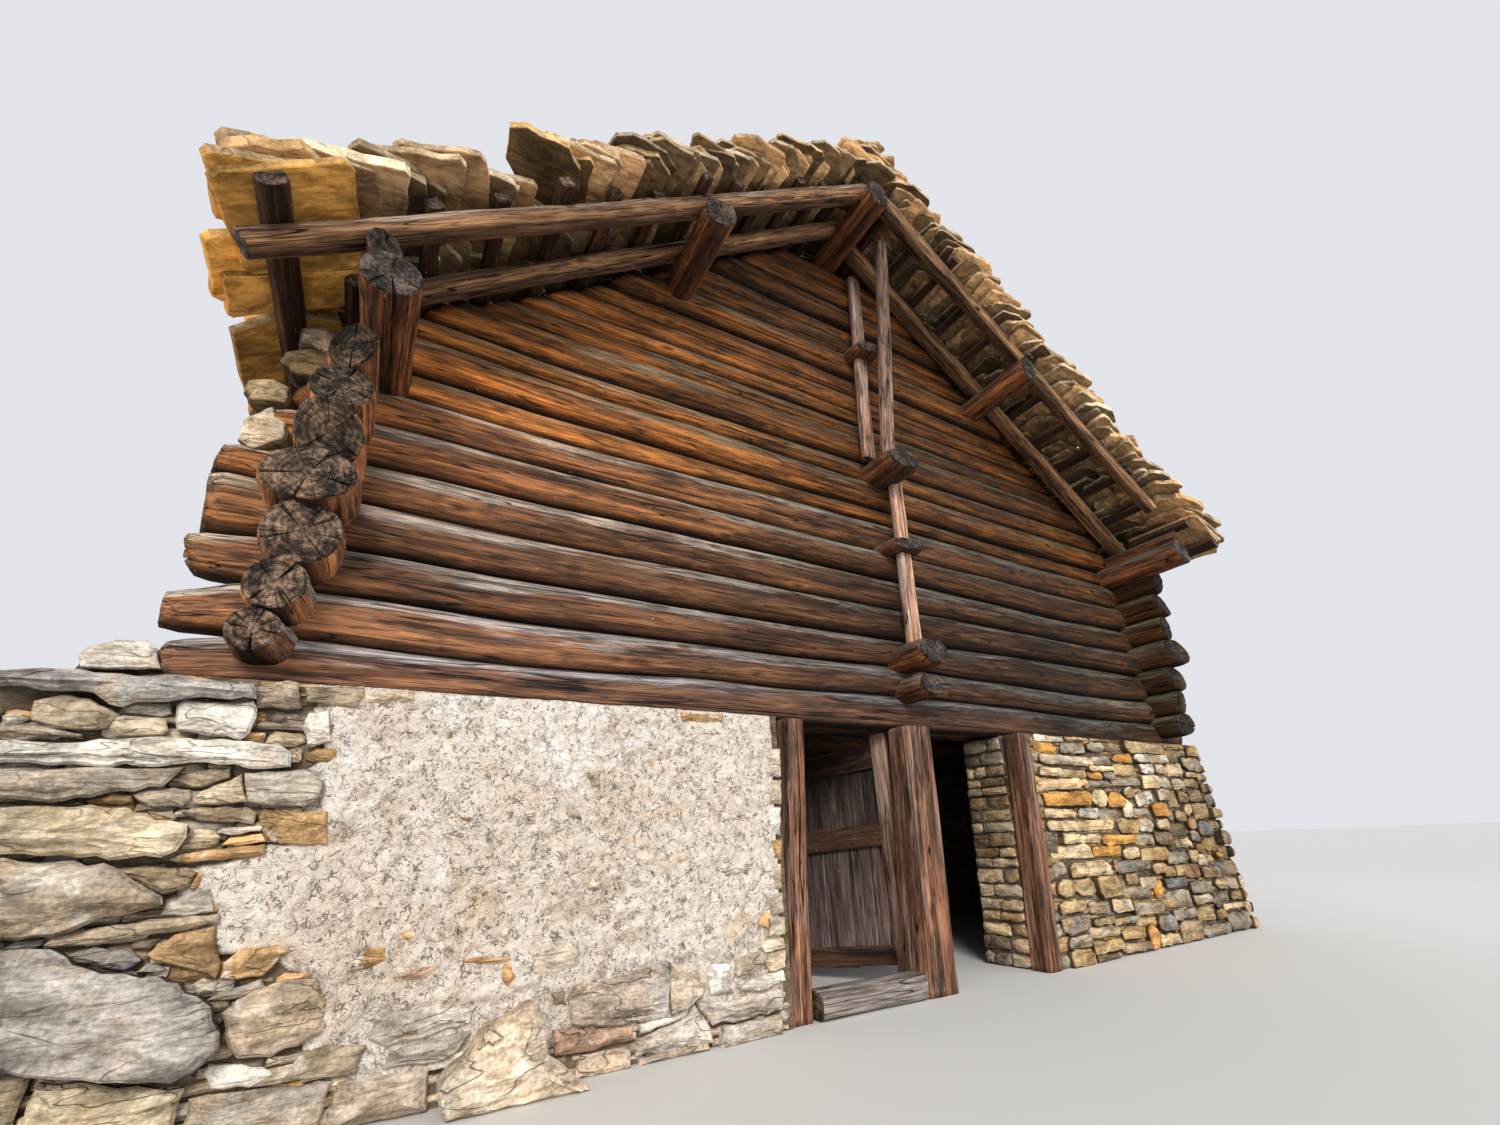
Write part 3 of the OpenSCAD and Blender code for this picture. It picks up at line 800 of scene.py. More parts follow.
        f = M.ramp(M.span(light_fall_pos, -5.0, 5.0, 0.0, 1.0), [(0.0, (1.9, 1.9, 1.6)), (0.1, (1.6, 1.58, 1.42)), (0.17, (1.13, 1.12, 1.13)), (0.25, (1.08, 1.08, 1.1)), (0.38, (0.83, 0.86, 0.88)), (0.5, (0.5, 0.525, 0.54)), (0.66, (0.33, 0.345, 0.35)), (0.79, (0.235, 0.25, 0.245)), (0.87, (0.31, 0.305, 0.24)), (1.0, (0.32, 0.31, 0.235))])
        col = M.mix(1.0, col, f, "MULTIPLY")
        col = M.mix(endf, col, M.mix(1.0, col, M.ramp(M.span(oz, 2.4, 4.4, 0.0, 1.0), [(0.0, (1.1, 1.09, 1.08)), (0.35, (0.85, 0.85, 0.85)), (0.65, (0.45, 0.45, 0.45)), (1.0, (0.28, 0.28, 0.28))]), "MULTIPLY"))
        col = M.mix(side, col, M.mix(1.0, col, M.ramp(M.span(oz, 1.8, 4.2, 0.0, 1.0), [(0.0, (0.76, 0.85, 1.1)), (0.12, (0.95, 0.98, 1.06)), (0.5, (1.03, 0.98, 0.9)), (1.0, (1.12, 1.02, 0.84))]), "MULTIPLY"))
    # painted shade: colour scaled with height, by the second number at the first height and by the fourth at the third,
    # darker towards the top under the overhangs
    if height_shade is not None:
        ox, oy, oz = M.split(M.object_co())
        g = M.span(oz, height_shade[0], height_shade[2], height_shade[1], height_shade[3])
        col = M.mix(1.0, col, M.join(g, g, g), "MULTIPLY")
    h = M.add((streak, 0.6), (fine, 0.3), (mid_, 0.4))
    h = M.math("SUBTRACT", h, M.add((crack, 1.1), (hair, 0.5), (knot, -0.3)))
    eh = M.math("SUBTRACT", M.add((egr, 1.0), (rings, 0.08), (rings2, 0.1)), M.add((ray, 1.6), (ray2, 0.7)))
    mixh = M.math("ADD", M.math("MULTIPLY", h, side), M.math("MULTIPLY", eh, endf))
    nrm = M.bump(mixh, bump, 0.009)
    return M.done(col, nrm, M.span(streak, 0.3, 0.7, 0.7, 0.92))


TONES = "WCPYTGBODR"


def tone_of(letter, rs):
    return np.array([(TONES.index(letter) + 0.5) / len(TONES) + rs.uniform(-0.012, 0.012), rs.random(), rs.random()])


def rock(
    name,
    palette,
    stain=(0.42, 0.2, 0.06),
    stain_amt=0.5,
    dark=0.35,
    layers=26.0,
    bump=0.8,
    lichen=(0.62, 0.6, 0.52),
    lichen_amt=0.35,
    coords=None,
    random=True,
    roughness=0.9,
    under=None,
    top_light=None,
    scale=1.0,
    joint=0.0,
    joint_shade_at=(-0.003, -0.017),
    spread=(0.14, 0.55, 1.0, 1.9),
    outer_light=None,
    shade=None,
):
    """Split stone with mottling, rust stains, thin layers and lichen; one tone per stone. joint paints shade on the
    sides that face the gaps, under paints light and shade on downward faces, shade paints shade that grows along x.
    """
    M = Mat(name, roughness=roughness, specular=0.2)
    p = M.attr("lp") if coords is None else coords(M)
    if random:
        rx, ry, rz = M.split(M.attr("rn"))
    else:
        rx = M.noise(p, 0.9, 1.0)
        ry = M.noise(M.vec("ADD", p, (7, 3, 9)), 1.1, 1.0)
        rz = ry
    n = len(palette)
    base = M.ramp(rx, [((i + 0.5) / n, c) for i, c in enumerate(palette)], "LINEAR")
    mott = M.noise(p, 5.0 * scale, 6, 0.64, 0.5)
    cloud = M.noise(M.vec("ADD", p, (5, 5, 1)), 1.9 * scale, 3, 0.55, 0.3)
    fine = M.noise(p, 60.0, 4, 0.62)
    lay = M.noise(M.vec("MULTIPLY", p, (2.6, layers, 2.6)), 1.0, 3, 0.6, 0.6)
    col = M.mix(1.0, base, M.ramp(mott, [(0.3, (dark, dark, dark * 0.98)), (0.48, (0.9, 0.9, 0.9)), (0.66, (1.32, 1.3, 1.27))]), "MULTIPLY")
    col = M.mix(1.0, col, M.ramp(cloud, [(0.35, (0.78, 0.76, 0.74)), (0.65, (1.16, 1.15, 1.14))]), "MULTIPLY")
    st = M.noise(M.vec("ADD", p, (13.0, 4.0, 2.0)), 3.1 * scale, 4, 0.6, 0.8)
    st = M.math("MULTIPLY", M.step(M.add(st, (ry, 0.26), -0.13), 0.5, 0.64), stain_amt)
    col = M.mix(st, col, M.mix(1.0, M.ramp(fine, [(0.3, scaled(stain, 0.6)), (0.7, stain)]), M.ramp(mott, [(0.3, (0.55,) * 3), (0.6, (1.15,) * 3)]), "MULTIPLY"))
    col = M.mix(M.math("MULTIPLY", M.line(lay, 0.03), 0.5), col, M.mix(1.0, col, (0.36, 0.32, 0.27), "MULTIPLY"))
    li = M.math("MULTIPLY", M.step(M.noise(M.vec("ADD", p, (3.0, 21.0, 8.0)), 9.0, 5, 0.7, 0.3), 0.58, 0.68), lichen_amt)
    col = M.mix(li, col, lichen)
    col = M.mix(0.6, col, M.mix(1.0, col, M.ramp(fine, [(0.3, (0.5,) * 3), (0.7, (1.35,) * 3)]), "MULTIPLY"))
    cr = M.noise(M.vec("MULTIPLY", M.vec("ADD", p, (5.0, 9.0, 1.0)), (2.2 * scale, 8.0 * scale, 4.0 * scale)), 1.0, 2.5, 0.6, 0.35)
    crack = M.math("MULTIPLY", M.line(cr, 0.011), M.step(M.noise(p, 2.6, 1.0), 0.4, 0.55))
    col = M.mix(M.math("MULTIPLY", crack, 0.4), col, (0.07, 0.055, 0.04))
    chip = M.noise(M.vec("MULTIPLY", M.vec("ADD", p, (2.0, 1.0, 7.0)), (5.0 * scale, 14.0 * scale, 8.0 * scale)), 1.0, 4, 0.65, 0.8)
    col = M.mix(1.0, col, M.ramp(chip, [(0.38, (0.62, 0.59, 0.55)), (0.5, (1.0, 1.0, 1.0)), (0.62, (1.22, 1.21, 1.19))]), "MULTIPLY")
    # painted shade in the gaps: the stones' sides, behind the edge of the face, darkened
    if joint:
        ca, cb, cc = M.split(M.attr("cr"))
        joint_shade_mask = M.step(M.add(cc, (mott, 0.01), -0.005), *joint_shade_at)
        col = M.mix(M.math("MULTIPLY", joint_shade_mask, joint), col, M.mix(1.0, col, (0.16, 0.13, 0.1), "MULTIPLY"))
    if under is not None or top_light is not None:
        nz = M.normal_z()
        # painted light and shade on downward faces: the under colour with per-stone brightness; on the roof it is
        # painted shade, on the eaves painted bounce light
        if under is not None:
            under_light_col = M.mix(1.0, M.ramp(ry, [(0.15, scaled(under, spread[0])), (0.42, scaled(under, spread[1])), (0.7, scaled(under, spread[2])), (0.95, scaled(under, spread[3]))]), M.ramp(mott, [(0.3, (0.4,) * 3), (0.62, (1.3,) * 3)]), "MULTIPLY")
            under_light_col = M.mix(1.0, under_light_col, M.ramp(chip, [(0.38, (0.6, 0.57, 0.52)), (0.62, (1.25, 1.23, 1.2))]), "MULTIPLY")
            # painted light and shade: brighter towards the outer verge, darker further in (y from, y to, factor there,
            # factor there)
            if outer_light is not None:
                ox, oy, oz = M.split(M.object_co())
                g = M.span(oy, *outer_light)
                under_light_col = M.mix(1.0, under_light_col, M.join(g, g, g), "MULTIPLY")
            col = M.mix(M.math("MULTIPLY", M.step(nz, -0.15, -0.55), 0.9), col, under_light_col)
        if top_light is not None:
            col = M.mix(M.math("MULTIPLY", M.step(nz, 0.35, 0.8), 0.5), col, M.mix(1.0, top_light, M.ramp(mott, [(0.3, (0.4,) * 3), (0.6, (1.25,) * 3)]), "MULTIPLY"))
    if shade is not None:
        ox, oy, oz = M.split(M.object_co())
        g = M.span(M.add(ox, (cloud, 0.8), -0.4), *shade)
        col = M.mix(1.0, col, M.join(g, g, M.math("MULTIPLY", g, 0.97)), "MULTIPLY")
    h = M.add((mott, 1.1), (fine, 0.24), (lay, 0.6), (chip, 0.8))
    h = M.math("SUBTRACT", h, M.math("MULTIPLY", crack, 0.5))
    return M.done(col, M.bump(h, bump, 0.014))


def plaster_mat(name):
    M = Mat(name, roughness=0.93, specular=0.15)
    p = M.attr("lp")
    depth, cover, rel = M.split(M.attr("cr"))
    big = M.noise(p, 1.3, 4, 0.6)
    lmp = M.noise(p, 17.0, 5, 0.66, 1.6)
    grit = M.noise(p, 80.0, 4, 0.65, 0.6)
    tone = M.add((big, 0.5), (lmp, 0.5))
    col = M.ramp(tone, [(0.36, (0.56, 0.465, 0.375)), (0.45, (0.73, 0.635, 0.535)), (0.56, (0.81, 0.74, 0.655)), (0.66, (0.88, 0.84, 0.775))])
    # flakes where the lime was thrown and pressed, with painted shadows darkening along their edges
    warp = M.vec("ADD", p, M.vec("MULTIPLY", M.noise(p, 10.0, 4, 0.65, 0.8, "Color"), (0.16, 0.16, 0.16)))
    edge_d, _ = M.voronoi(warp, 19.0, "DISTANCE_TO_EDGE")
    flake_d, flake_c = M.voronoi(warp, 19.0)
    fr, fg, fb = M.split(flake_c)
    some = M.step(M.noise(M.vec("ADD", p, (2, 9, 1)), 18.0, 3, 0.6), 0.53, 0.58)
    flake_edge_shadows = M.math("MULTIPLY", M.step(edge_d, 0.06, 0.01), some)
    flake_edge_shade = M.step(edge_d, 0.3, 0.0)
    tilt = M.noise(M.vec("ADD", warp, (6, 2, 1)), 30.0, 2)
    edge2, _ = M.voronoi(M.vec("ADD", warp, (3, 1, 2)), 41.0, "DISTANCE_TO_EDGE")
    fine_flake_shadows = M.math("MULTIPLY", M.step(edge2, 0.07, 0.0), M.step(M.noise(M.vec("ADD", p, (12, 3, 7)), 17.0, 2), 0.57, 0.61))
    cracks = M.math("MULTIPLY", M.line(M.noise(M.vec("ADD", p, (1, 1, 8)), 5.0, 3, 0.6, 1.8), 0.005), 0.6)
    pits = M.step(M.noise(M.vec("ADD", p, (9, 2, 5)), 42.0, 2, 0.5, 0.5), 0.7, 0.74)
    col = M.mix(1.0, col, M.ramp(fr, [(0.0, (0.94, 0.92, 0.9)), (0.5, (1.0, 1.0, 1.0)), (1.0, (1.06, 1.06, 1.07))]), "MULTIPLY")
    # painted shade near the flake edges and painted shadows along them
    col = M.mix(M.math("MULTIPLY", flake_edge_shade, 0.22), col, M.mix(1.0, col, (0.85, 0.77, 0.67), "MULTIPLY"))
    col = M.mix(M.math("MULTIPLY", fine_flake_shadows, 0.6), col, (0.42, 0.33, 0.24))
    col = M.mix(M.math("MULTIPLY", flake_edge_shadows, 0.8), col, (0.24, 0.185, 0.135))
    col = M.mix(cracks, col, (0.2, 0.15, 0.11))
    col = M.mix(M.math("MULTIPLY", pits, 0.85), col, (0.14, 0.1, 0.07))
    och = M.math("MULTIPLY", M.step(M.noise(M.vec("ADD", p, (30, 2, 8)), 2.4, 4, 0.6, 0.9), 0.6, 0.7), 0.4)
    col = M.mix(och, col, M.mix(1.0, col, (0.95, 0.72, 0.48), "MULTIPLY"))
    white = M.math("MULTIPLY", M.step(M.noise(M.vec("ADD", p, (1, 17, 3)), 1.5, 4, 0.6, 0.8), 0.53, 0.66), 0.6)
    col = M.mix(M.math("MULTIPLY", white, M.step(lmp, 0.4, 0.5)), col, (0.93, 0.91, 0.88))
    # painted shade in the hollows of the relief
    dip = M.step(rel, -0.35, -1.0)
    col = M.mix(M.math("MULTIPLY", dip, 0.55), col, M.mix(1.0, col, (0.6, 0.52, 0.43), "MULTIPLY"))
    thin = M.step(cover, 0.85, 0.25)
    edge = M.mix(1.0, (0.8, 0.72, 0.63), M.ramp(lmp, [(0.35, (0.5, 0.47, 0.43)), (0.5, (0.9,) * 3), (0.62, (1.2,) * 3)]), "MULTIPLY")
    col = M.mix(M.math("MULTIPLY", thin, 0.7), col, edge)
    h = M.add((lmp, 1.3), (grit, 0.3), (flake_d, -0.5), (tilt, 0.5))
    h = M.math("SUBTRACT", h, M.add((flake_edge_shadows, 0.75), (fine_flake_shadows, 0.3), (cracks, 0.8), (pits, 0.8)))
    return M.done(col, M.bump(h, 1.0, 0.016))


def grain_xyz(sx, sy, sz):
    def f(M):
        return M.vec("MULTIPLY", M.object_co(), (sx, sy, sz))

    return f


MAT_LOG = wood("wood_logs", painted_light_fade=True)
# the gable logs' wood, a copy of the log wood with darker grey: painted shade under the eaves
MAT_GABLE = wood(
    "wood_gable_logs",
    light=(0.6, 0.245, 0.068),
    middle=(0.25, 0.105, 0.037),
    dark=(0.042, 0.022, 0.011),
    grey_light=(0.36, 0.28, 0.2),
    grey_dark=(0.09, 0.065, 0.046),
    grey=0.85,
    bias=-0.05,
    painted_light_fade=True,
)
MAT_POLE = wood(
    "wood_poles",
    light=(0.58, 0.33, 0.165),
    middle=(0.3, 0.16, 0.082),
    dark=(0.055, 0.03, 0.018),
    grey_light=(0.5, 0.4, 0.3),
    grey_dark=(0.13, 0.1, 0.075),
    grey=0.75,
    seam_shade=0.0,
    cracks=1.3,
)
MAT_BEAM = wood(
    "wood_purlins",
    light=(0.33, 0.13, 0.05),
    middle=(0.13, 0.052, 0.024),
    dark=(0.03, 0.014, 0.009),
    grey_light=(0.3, 0.22, 0.17),
    grey_dark=(0.075, 0.055, 0.045),
    grey=0.6,
    seam_shade=0.0,
    cracks=1.4,
    end_light=(0.15, 0.11, 0.088),
)
MAT_BATTEN = wood(
    "wood_battens",
    light=(0.13, 0.06, 0.032),
    middle=(0.06, 0.028, 0.016),
    dark=(0.02, 0.011, 0.008),
    grey_light=(0.14, 0.11, 0.088),
    grey_dark=(0.042, 0.032, 0.026),
    grey=0.5,
    seam_shade=0.0,
    cracks=1.0,
)
MAT_POST = wood(
    "wood_posts",
    light=(0.4, 0.19, 0.105),
    middle=(0.17, 0.078, 0.043),
    dark=(0.038, 0.02, 0.013),
    grey_light=(0.46, 0.34, 0.27),
    grey_dark=(0.13, 0.09, 0.07),
    grey=0.45,
    bias=0.2,
    height=0.0,
    seam_shade=0.0,
    band_light_and_shade=0.0,
    cracks=1.5,
    knots=0.8,
    soot=0.8,
    height_shade=(0.1, 1.12, 1.7, 0.76),
)
MAT_STILE = wood(
    "wood_stile",
    light=(0.52, 0.32, 0.22),
    middle=(0.29, 0.17, 0.12),
    dark=(0.1, 0.055, 0.04),
    grey_light=(0.46, 0.34, 0.28),
    grey_dark=(0.17, 0.115, 0.09),
    grey=0.6,
    bias=0.2,
    height=0.0,
    seam_shade=0.0,
    band_light_and_shade=0.0,
    cracks=1.4,
)
MAT_CLAMP = wood(
    "wood_clamps",
    light=(0.56, 0.34, 0.235),
    middle=(0.31, 0.185, 0.13),
    dark=(0.07, 0.045, 0.034),
    grey_light=(0.56, 0.5, 0.45),
    grey_dark=(0.2, 0.17, 0.15),
    grey=0.65,
    bias=0.05,
    height=0.0,
    seam_shade=0.0,
    band_light_and_shade=0.0,
    cracks=1.4,
    height_shade=(4.9, 1.15, 6.9, 0.45),
)
MAT_SILL = wood(
    "wood_threshold",
    light=(0.36, 0.3, 0.26),
    middle=(0.2, 0.165, 0.14),
    dark=(0.06, 0.045, 0.038),
    grey_light=(0.38, 0.33, 0.3),
    grey_dark=(0.12, 0.1, 0.087),
    grey=0.8,
    bias=0.4,
    height=0.0,
    seam_shade=0.0,
    band_light_and_shade=0.0,
)
MAT_DOOR = wood(
    "wood_door",
    light=(0.2, 0.135, 0.12),
    middle=(0.12, 0.08, 0.071),
    dark=(0.05, 0.033, 0.028),
    grey_light=(0.27, 0.21, 0.19),
    grey_dark=(0.07, 0.055, 0.048),
    grey=0.5,
    bias=0.3,
    height=0.0,
    seam_shade=0.0,
    band_light_and_shade=0.0,
    knots=0.6,
    cracks=1.2,
    soot=0.5,
    height_shade=(0.2, 1.32, 1.6, 0.08),
)
MAT_LEDGE = wood(
    "wood_ledges",
    light=(0.12, 0.062, 0.038),
    middle=(0.062, 0.033, 0.022),
    dark=(0.02, 0.011, 0.008),
    grey_light=(0.17, 0.125, 0.1),
    grey_dark=(0.055, 0.042, 0.033),
    grey=0.4,
    height=0.0,
    seam_shade=0.0,
    band_light_and_shade=0.0,
    knots=0.5,
)
# tones in the order of TONES
MAT_WALL = rock(
    "stone_walls",
    [(0.82, 0.76, 0.66), (0.76, 0.58, 0.36), (0.7, 0.6, 0.47), (0.66, 0.5, 0.29), (0.52, 0.38, 0.21), (0.38, 0.33, 0.26), (0.24, 0.235, 0.23), (0.7, 0.35, 0.09), (0.2, 0.165, 0.12), (0.44, 0.25, 0.13)],
    stain=(0.62, 0.33, 0.1),
    stain_amt=0.45,
    dark=0.3,
    bump=0.9,
    joint=0.9,
)
# a copy of the wall stone with painted shade that darkens it towards the right corner
MAT_PIER_SHADED = rock(
    "stone_pier_shaded",
    [(0.82, 0.76, 0.66), (0.76, 0.58, 0.36), (0.7, 0.6, 0.47), (0.66, 0.5, 0.29), (0.52, 0.38, 0.21), (0.38, 0.33, 0.26), (0.24, 0.235, 0.23), (0.7, 0.35, 0.09), (0.2, 0.165, 0.12), (0.44, 0.25, 0.13)],
    stain=(0.62, 0.33, 0.1),
    stain_amt=0.45,
    dark=0.3,
    bump=0.9,
    joint=0.9,
    shade=(2.9, 4.4, 1.02, 0.7),
)
MAT_BIG = rock(
    "stone_big_blocks",
    [(0.74, 0.7, 0.63), (0.7, 0.58, 0.42), (0.58, 0.48, 0.38), (0.66, 0.56, 0.4), (0.5, 0.41, 0.29), (0.5, 0.445, 0.375), (0.44, 0.42, 0.4), (0.6, 0.37, 0.17), (0.24, 0.2, 0.16), (0.44, 0.27, 0.18)],
    stain=(0.6, 0.4, 0.19),
    stain_amt=0.4,
    dark=0.34,
    bump=1.0,
    lichen=(0.8, 0.78, 0.73),
    lichen_amt=0.5,
    layers=20.0,
    joint=0.9,
    joint_shade_at=(-0.024, -0.045),
)
MAT_FOOT = rock(
    "stone_foot",
    [(0.8, 0.76, 0.7), (0.76, 0.64, 0.5), (0.66, 0.56, 0.46), (0.72, 0.62, 0.47), (0.6, 0.5, 0.39), (0.56, 0.51, 0.45), (0.5, 0.48, 0.47), (0.68, 0.4, 0.17), (0.34, 0.29, 0.24), (0.54, 0.36, 0.26)],
    stain=(0.66, 0.45, 0.26),
    stain_amt=0.4,
    dark=0.45,
    bump=1.2,
    lichen=(0.86, 0.83, 0.78),
    lichen_amt=0.75,
    layers=14.0,
)
ROOF_TONES = [(0.76, 0.58, 0.36), (0.52, 0.39, 0.24), (0.84, 0.7, 0.48), (0.36, 0.28, 0.19), (0.74, 0.46, 0.2), (0.68, 0.58, 0.44)]
# roof stone: undersides in painted shade, brighter towards the outer verge as painted light
MAT_ROOF = rock(
    "stone_roof",
    ROOF_TONES,
    stain=(0.5, 0.26, 0.08),
    stain_amt=0.5,
    dark=0.28,
    layers=9.0,
    lichen=(0.66, 0.6, 0.45),
    lichen_amt=0.4,
    under=(0.31, 0.185, 0.088),
    outer_light=(-4.6, -3.6, 1.75, 0.2),
    top_light=(0.6, 0.5, 0.36),
)
# the left eaves' stone: bright orange undersides, painted bounce light from the ground
MAT_EAVE = rock(
    "stone_eaves",
    [(0.6, 0.34, 0.1), (0.5, 0.33, 0.16), (0.56, 0.42, 0.24), (0.42, 0.29, 0.16)],
    stain=(0.6, 0.27, 0.05),
    stain_amt=0.5,
    dark=0.28,
    layers=9.0,
    lichen=(0.62, 0.52, 0.32),
    lichen_amt=0.3,
    under=(0.95, 0.49, 0.115),
    spread=(0.7, 0.95, 1.15, 1.3),
    top_light=(0.56, 0.46, 0.33),
)
# nearly black stone for the walls' cores, which show in the gaps between stones: painted shade
MAT_CORE_SHADE = rock(
    "stone_core_painted_shade",
    [(0.14, 0.11, 0.075), (0.18, 0.14, 0.1), (0.1, 0.08, 0.058)],
    stain=(0.16, 0.09, 0.04),
    stain_amt=0.3,
    lichen=(0.2, 0.17, 0.13),
    lichen_amt=0.2,
    coords=grain_xyz(1.0, 1.0, 2.0),
    random=False,
)
MAT_PLASTER = plaster_mat("lime_plaster")


# ------------------------------------------------------------------
# log walls
# ------------------------------------------------------------------
def seam_z(k, x, face=0):
    """Height of the joint under course k at x, wavy as hewn logs are."""
    x = np.asarray(x, float)
    if k == 0:
        return np.full_like(x, BASE_H)
    q = np.stack([x * 0.34, np.full_like(x, k * 3.7), np.full_like(x, face * 9.1)], -1)
    q2 = np.stack([x * 1.15, np.full_like(x, k * 5.9), np.full_like(x, face * 4.3)], -1)
    z = SEAM[k] + 0.034 * noise3(q, 21) + 0.013 * noise3(q2, 22)
    if face == 0:
        z = z + (RISE[k] if k < len(RISE) else 0.0) + 0.025 * smooth(-x, 2.9, 3.9)
    return z


# how much higher the joints of the front lie than an even laying would put them
RISE = [0.0, 0.045, 0.07, 0.08, 0.08, 0.1, 0.075, 0.11, 0.085, 0.06, 0.03]
# front tails at the left corner: length of the hewing, how its top and foot move, how much shorter, slant of the cut
TAILS = {
    0: (0.4, -0.05, 0.0, -4.55, (0.1, -0.3)),
    1: (0.3, -0.075, 0.0, -4.6, (0.15, 0.1)),
    2: (0.35, -0.02, 0.02, -4.575, (-0.1, 0.25)),
    3: (0.5, 0.02, -0.03, -4.6, (0.2, 0.15)),
    4: (0.4, -0.03, 0.03, -4.62, (0.2, -0.1)),
    5: (0.3, -0.02, 0.02, -4.47, (0.15, -0.3)),
    6: (0.3, -0.05, 0.0, -4.38, (0.2, -0.55)),
}


def log_checks(r, count, length, upper=(1.95, 3.0), lower=(3.2, 3.8)):
    out = []
    for i in range(count):
        lo, hi = upper if i % 3 != 2 else lower
        run = r.uniform(1.0, 3.6)
        at = r.uniform(-0.5, length - 0.6)
        out.append((lo + (hi - lo) * ((i + r.random()) / count), at, at + run, r.uniform(0.012, 0.026), r.uniform(0.008, 0.015)))
    return out


def cross_log(B, k, y, face, seed, nst=96, m=26):
    r = np.random.default_rng(seed + k)
    e = AX + TAIL + 0.035 * (k % 3)
    ln, top, bot, x0, t0 = TAILS[k] if face == 0 else (0.3, -0.02, 0.01, -e, (r.uniform(-0.3, 0.3), r.uniform(-0.3, 0.3)))
    x1 = e - 0.025 * (k % 2)
    x = np.concatenate([x0 + 0.6 * np.linspace(0, 1, 14, endpoint=False) ** 1.2, np.linspace(x0 + 0.6, x1 - 0.5, nst, endpoint=False), x1 - 0.5 * np.linspace(1, 0, 10) ** 1.1])
    zb, zt = seam_z(k, x, face), seam_z(k + 1, x, face)
    tl = 1 - smooth(x, x0, x0 + ln)
    tr = smooth(x, x1 - 0.35, x1)
    zt = zt + top * tl - 0.02 * tr
    zb = zb + bot * tl + (0.015 * tr if k else 0.0)
    hh = (zt - zb) / 2 + 0.004
    zc = (zb + zt) / 2
    hw = SIZE[LAID[k]] * 1.12 / 2 * (1 + 0.05 * noise3(np.stack([x * 0.5, np.full_like(x, k * 2.1), np.full_like(x, face)], -1), 31))
    hw = hw * (1 + (1.2 * (top - bot)) * tl) if k != 1 else hw * (1 - 0.12 * tl)
    end = np.maximum(1 - smooth(x, x0, x0 + 0.05), smooth(x, x1 - 0.05, x1))
    hh = hh * (1 - 0.1 * end)
    hw = hw * (1 - 0.1 * end)
    yc = y + 0.010 * noise3(np.stack([x * 0.4, np.full_like(x, k * 1.7), np.full_like(x, face + 3)], -1), 32)
    C = np.stack([x, yc, zc], 1)
    out_ = np.maximum(tl, tr)
    ee = (0.82 if k else 0.62) + 0.12 * out_
    sp = log_checks(r, 4, x1 - x0) if face == 0 else []
    if face == 0:
        sp += [(r.uniform(2.2, 3.9), 0.0, r.uniform(0.5, 1.3), 0.03, 0.016), (r.uniform(2.2, 3.9), 0.0, r.uniform(0.3, 0.6), 0.025, 0.014)]
    tube(B, C, (0, 1, 0), (0, 0, 1), hw, hh, e=ee, m=m, rough=0.007, groove=0.0035, seed=seed + k, tilt0=t0, tilt1=tuple(r.uniform(-0.35, 0.35, 2)), chamfer=0.016, rnd=r.random(3), splits=sp, fine_ends=(face == 0, False), ends=(0.52, 1.0))


def gable_log(B, k, y, face, seed, nst=84, m=22):
    r = np.random.default_rng(seed + k)
    zm = (SEAM[k] + SEAM[k + 1]) / 2
    up_to = RAFTER_LINE + 0.14
    half = min((up_to - zm) / TT, EAVES_X - 0.03)
    n = max(24, int(nst * half / 3.9))
    x = np.linspace(-1, 1, n) * half
    zb, zt = seam_z(k, x, face), seam_z(k + 1, x, face)
    zc = (zb + zt) / 2
    hh = (zt - zb) / 2 + 0.004
    hw = SIZE[LAID[k]] * 1.12 / 2 * (1 + 0.05 * noise3(np.stack([x * 0.5, np.full_like(x, k * 2.1), np.full_like(x, face)], -1), 31))
    yc = y + 0.010 * noise3(np.stack([x * 0.4, np.full_like(x, k * 1.7), np.full_like(x, face + 3)], -1), 32)
    C = np.stack([x, yc, zc], 1)

    def shear(V):
        lim = np.minimum((up_to - V[:, 2]) / TT, EAVES_X - 0.03)
        return np.stack([V[:, 0] / half * np.maximum(lim, 0.02), V[:, 1], V[:, 2]], 1)

    sp = log_checks(r, 3 if half > 1.5 else 1, 2 * half) if face == 0 else []
    tube(B, C, (0, 1, 0), (0, 0, 1), hw, hh, e=0.8, m=m, rough=0.006, groove=0.003, seed=seed + k, shape=shear, chamfer=0.0, rnd=r.random(3), splits=sp)


def side_reach(j):
    return 0.2 + 0.035 * j + (0.06 if j == 4 else 0.0)


SIDE_ENDS = {
    1: (0.9, 0.92, (0.1, 0.2)),
    2: (0.98, 1.0, (-0.1, 0.15)),
    3: (1.14, 1.1, (0.1, 0.1)),
    4: (1.42, 1.06, (-0.15, 0.12)),
    5: (1.05, 1.0, (0.25, 0.75)),
    6: (1.0, 1.02, (0.0, -0.1)),
    7: (1.02, 1.0, (-0.6, 0.35)),
}


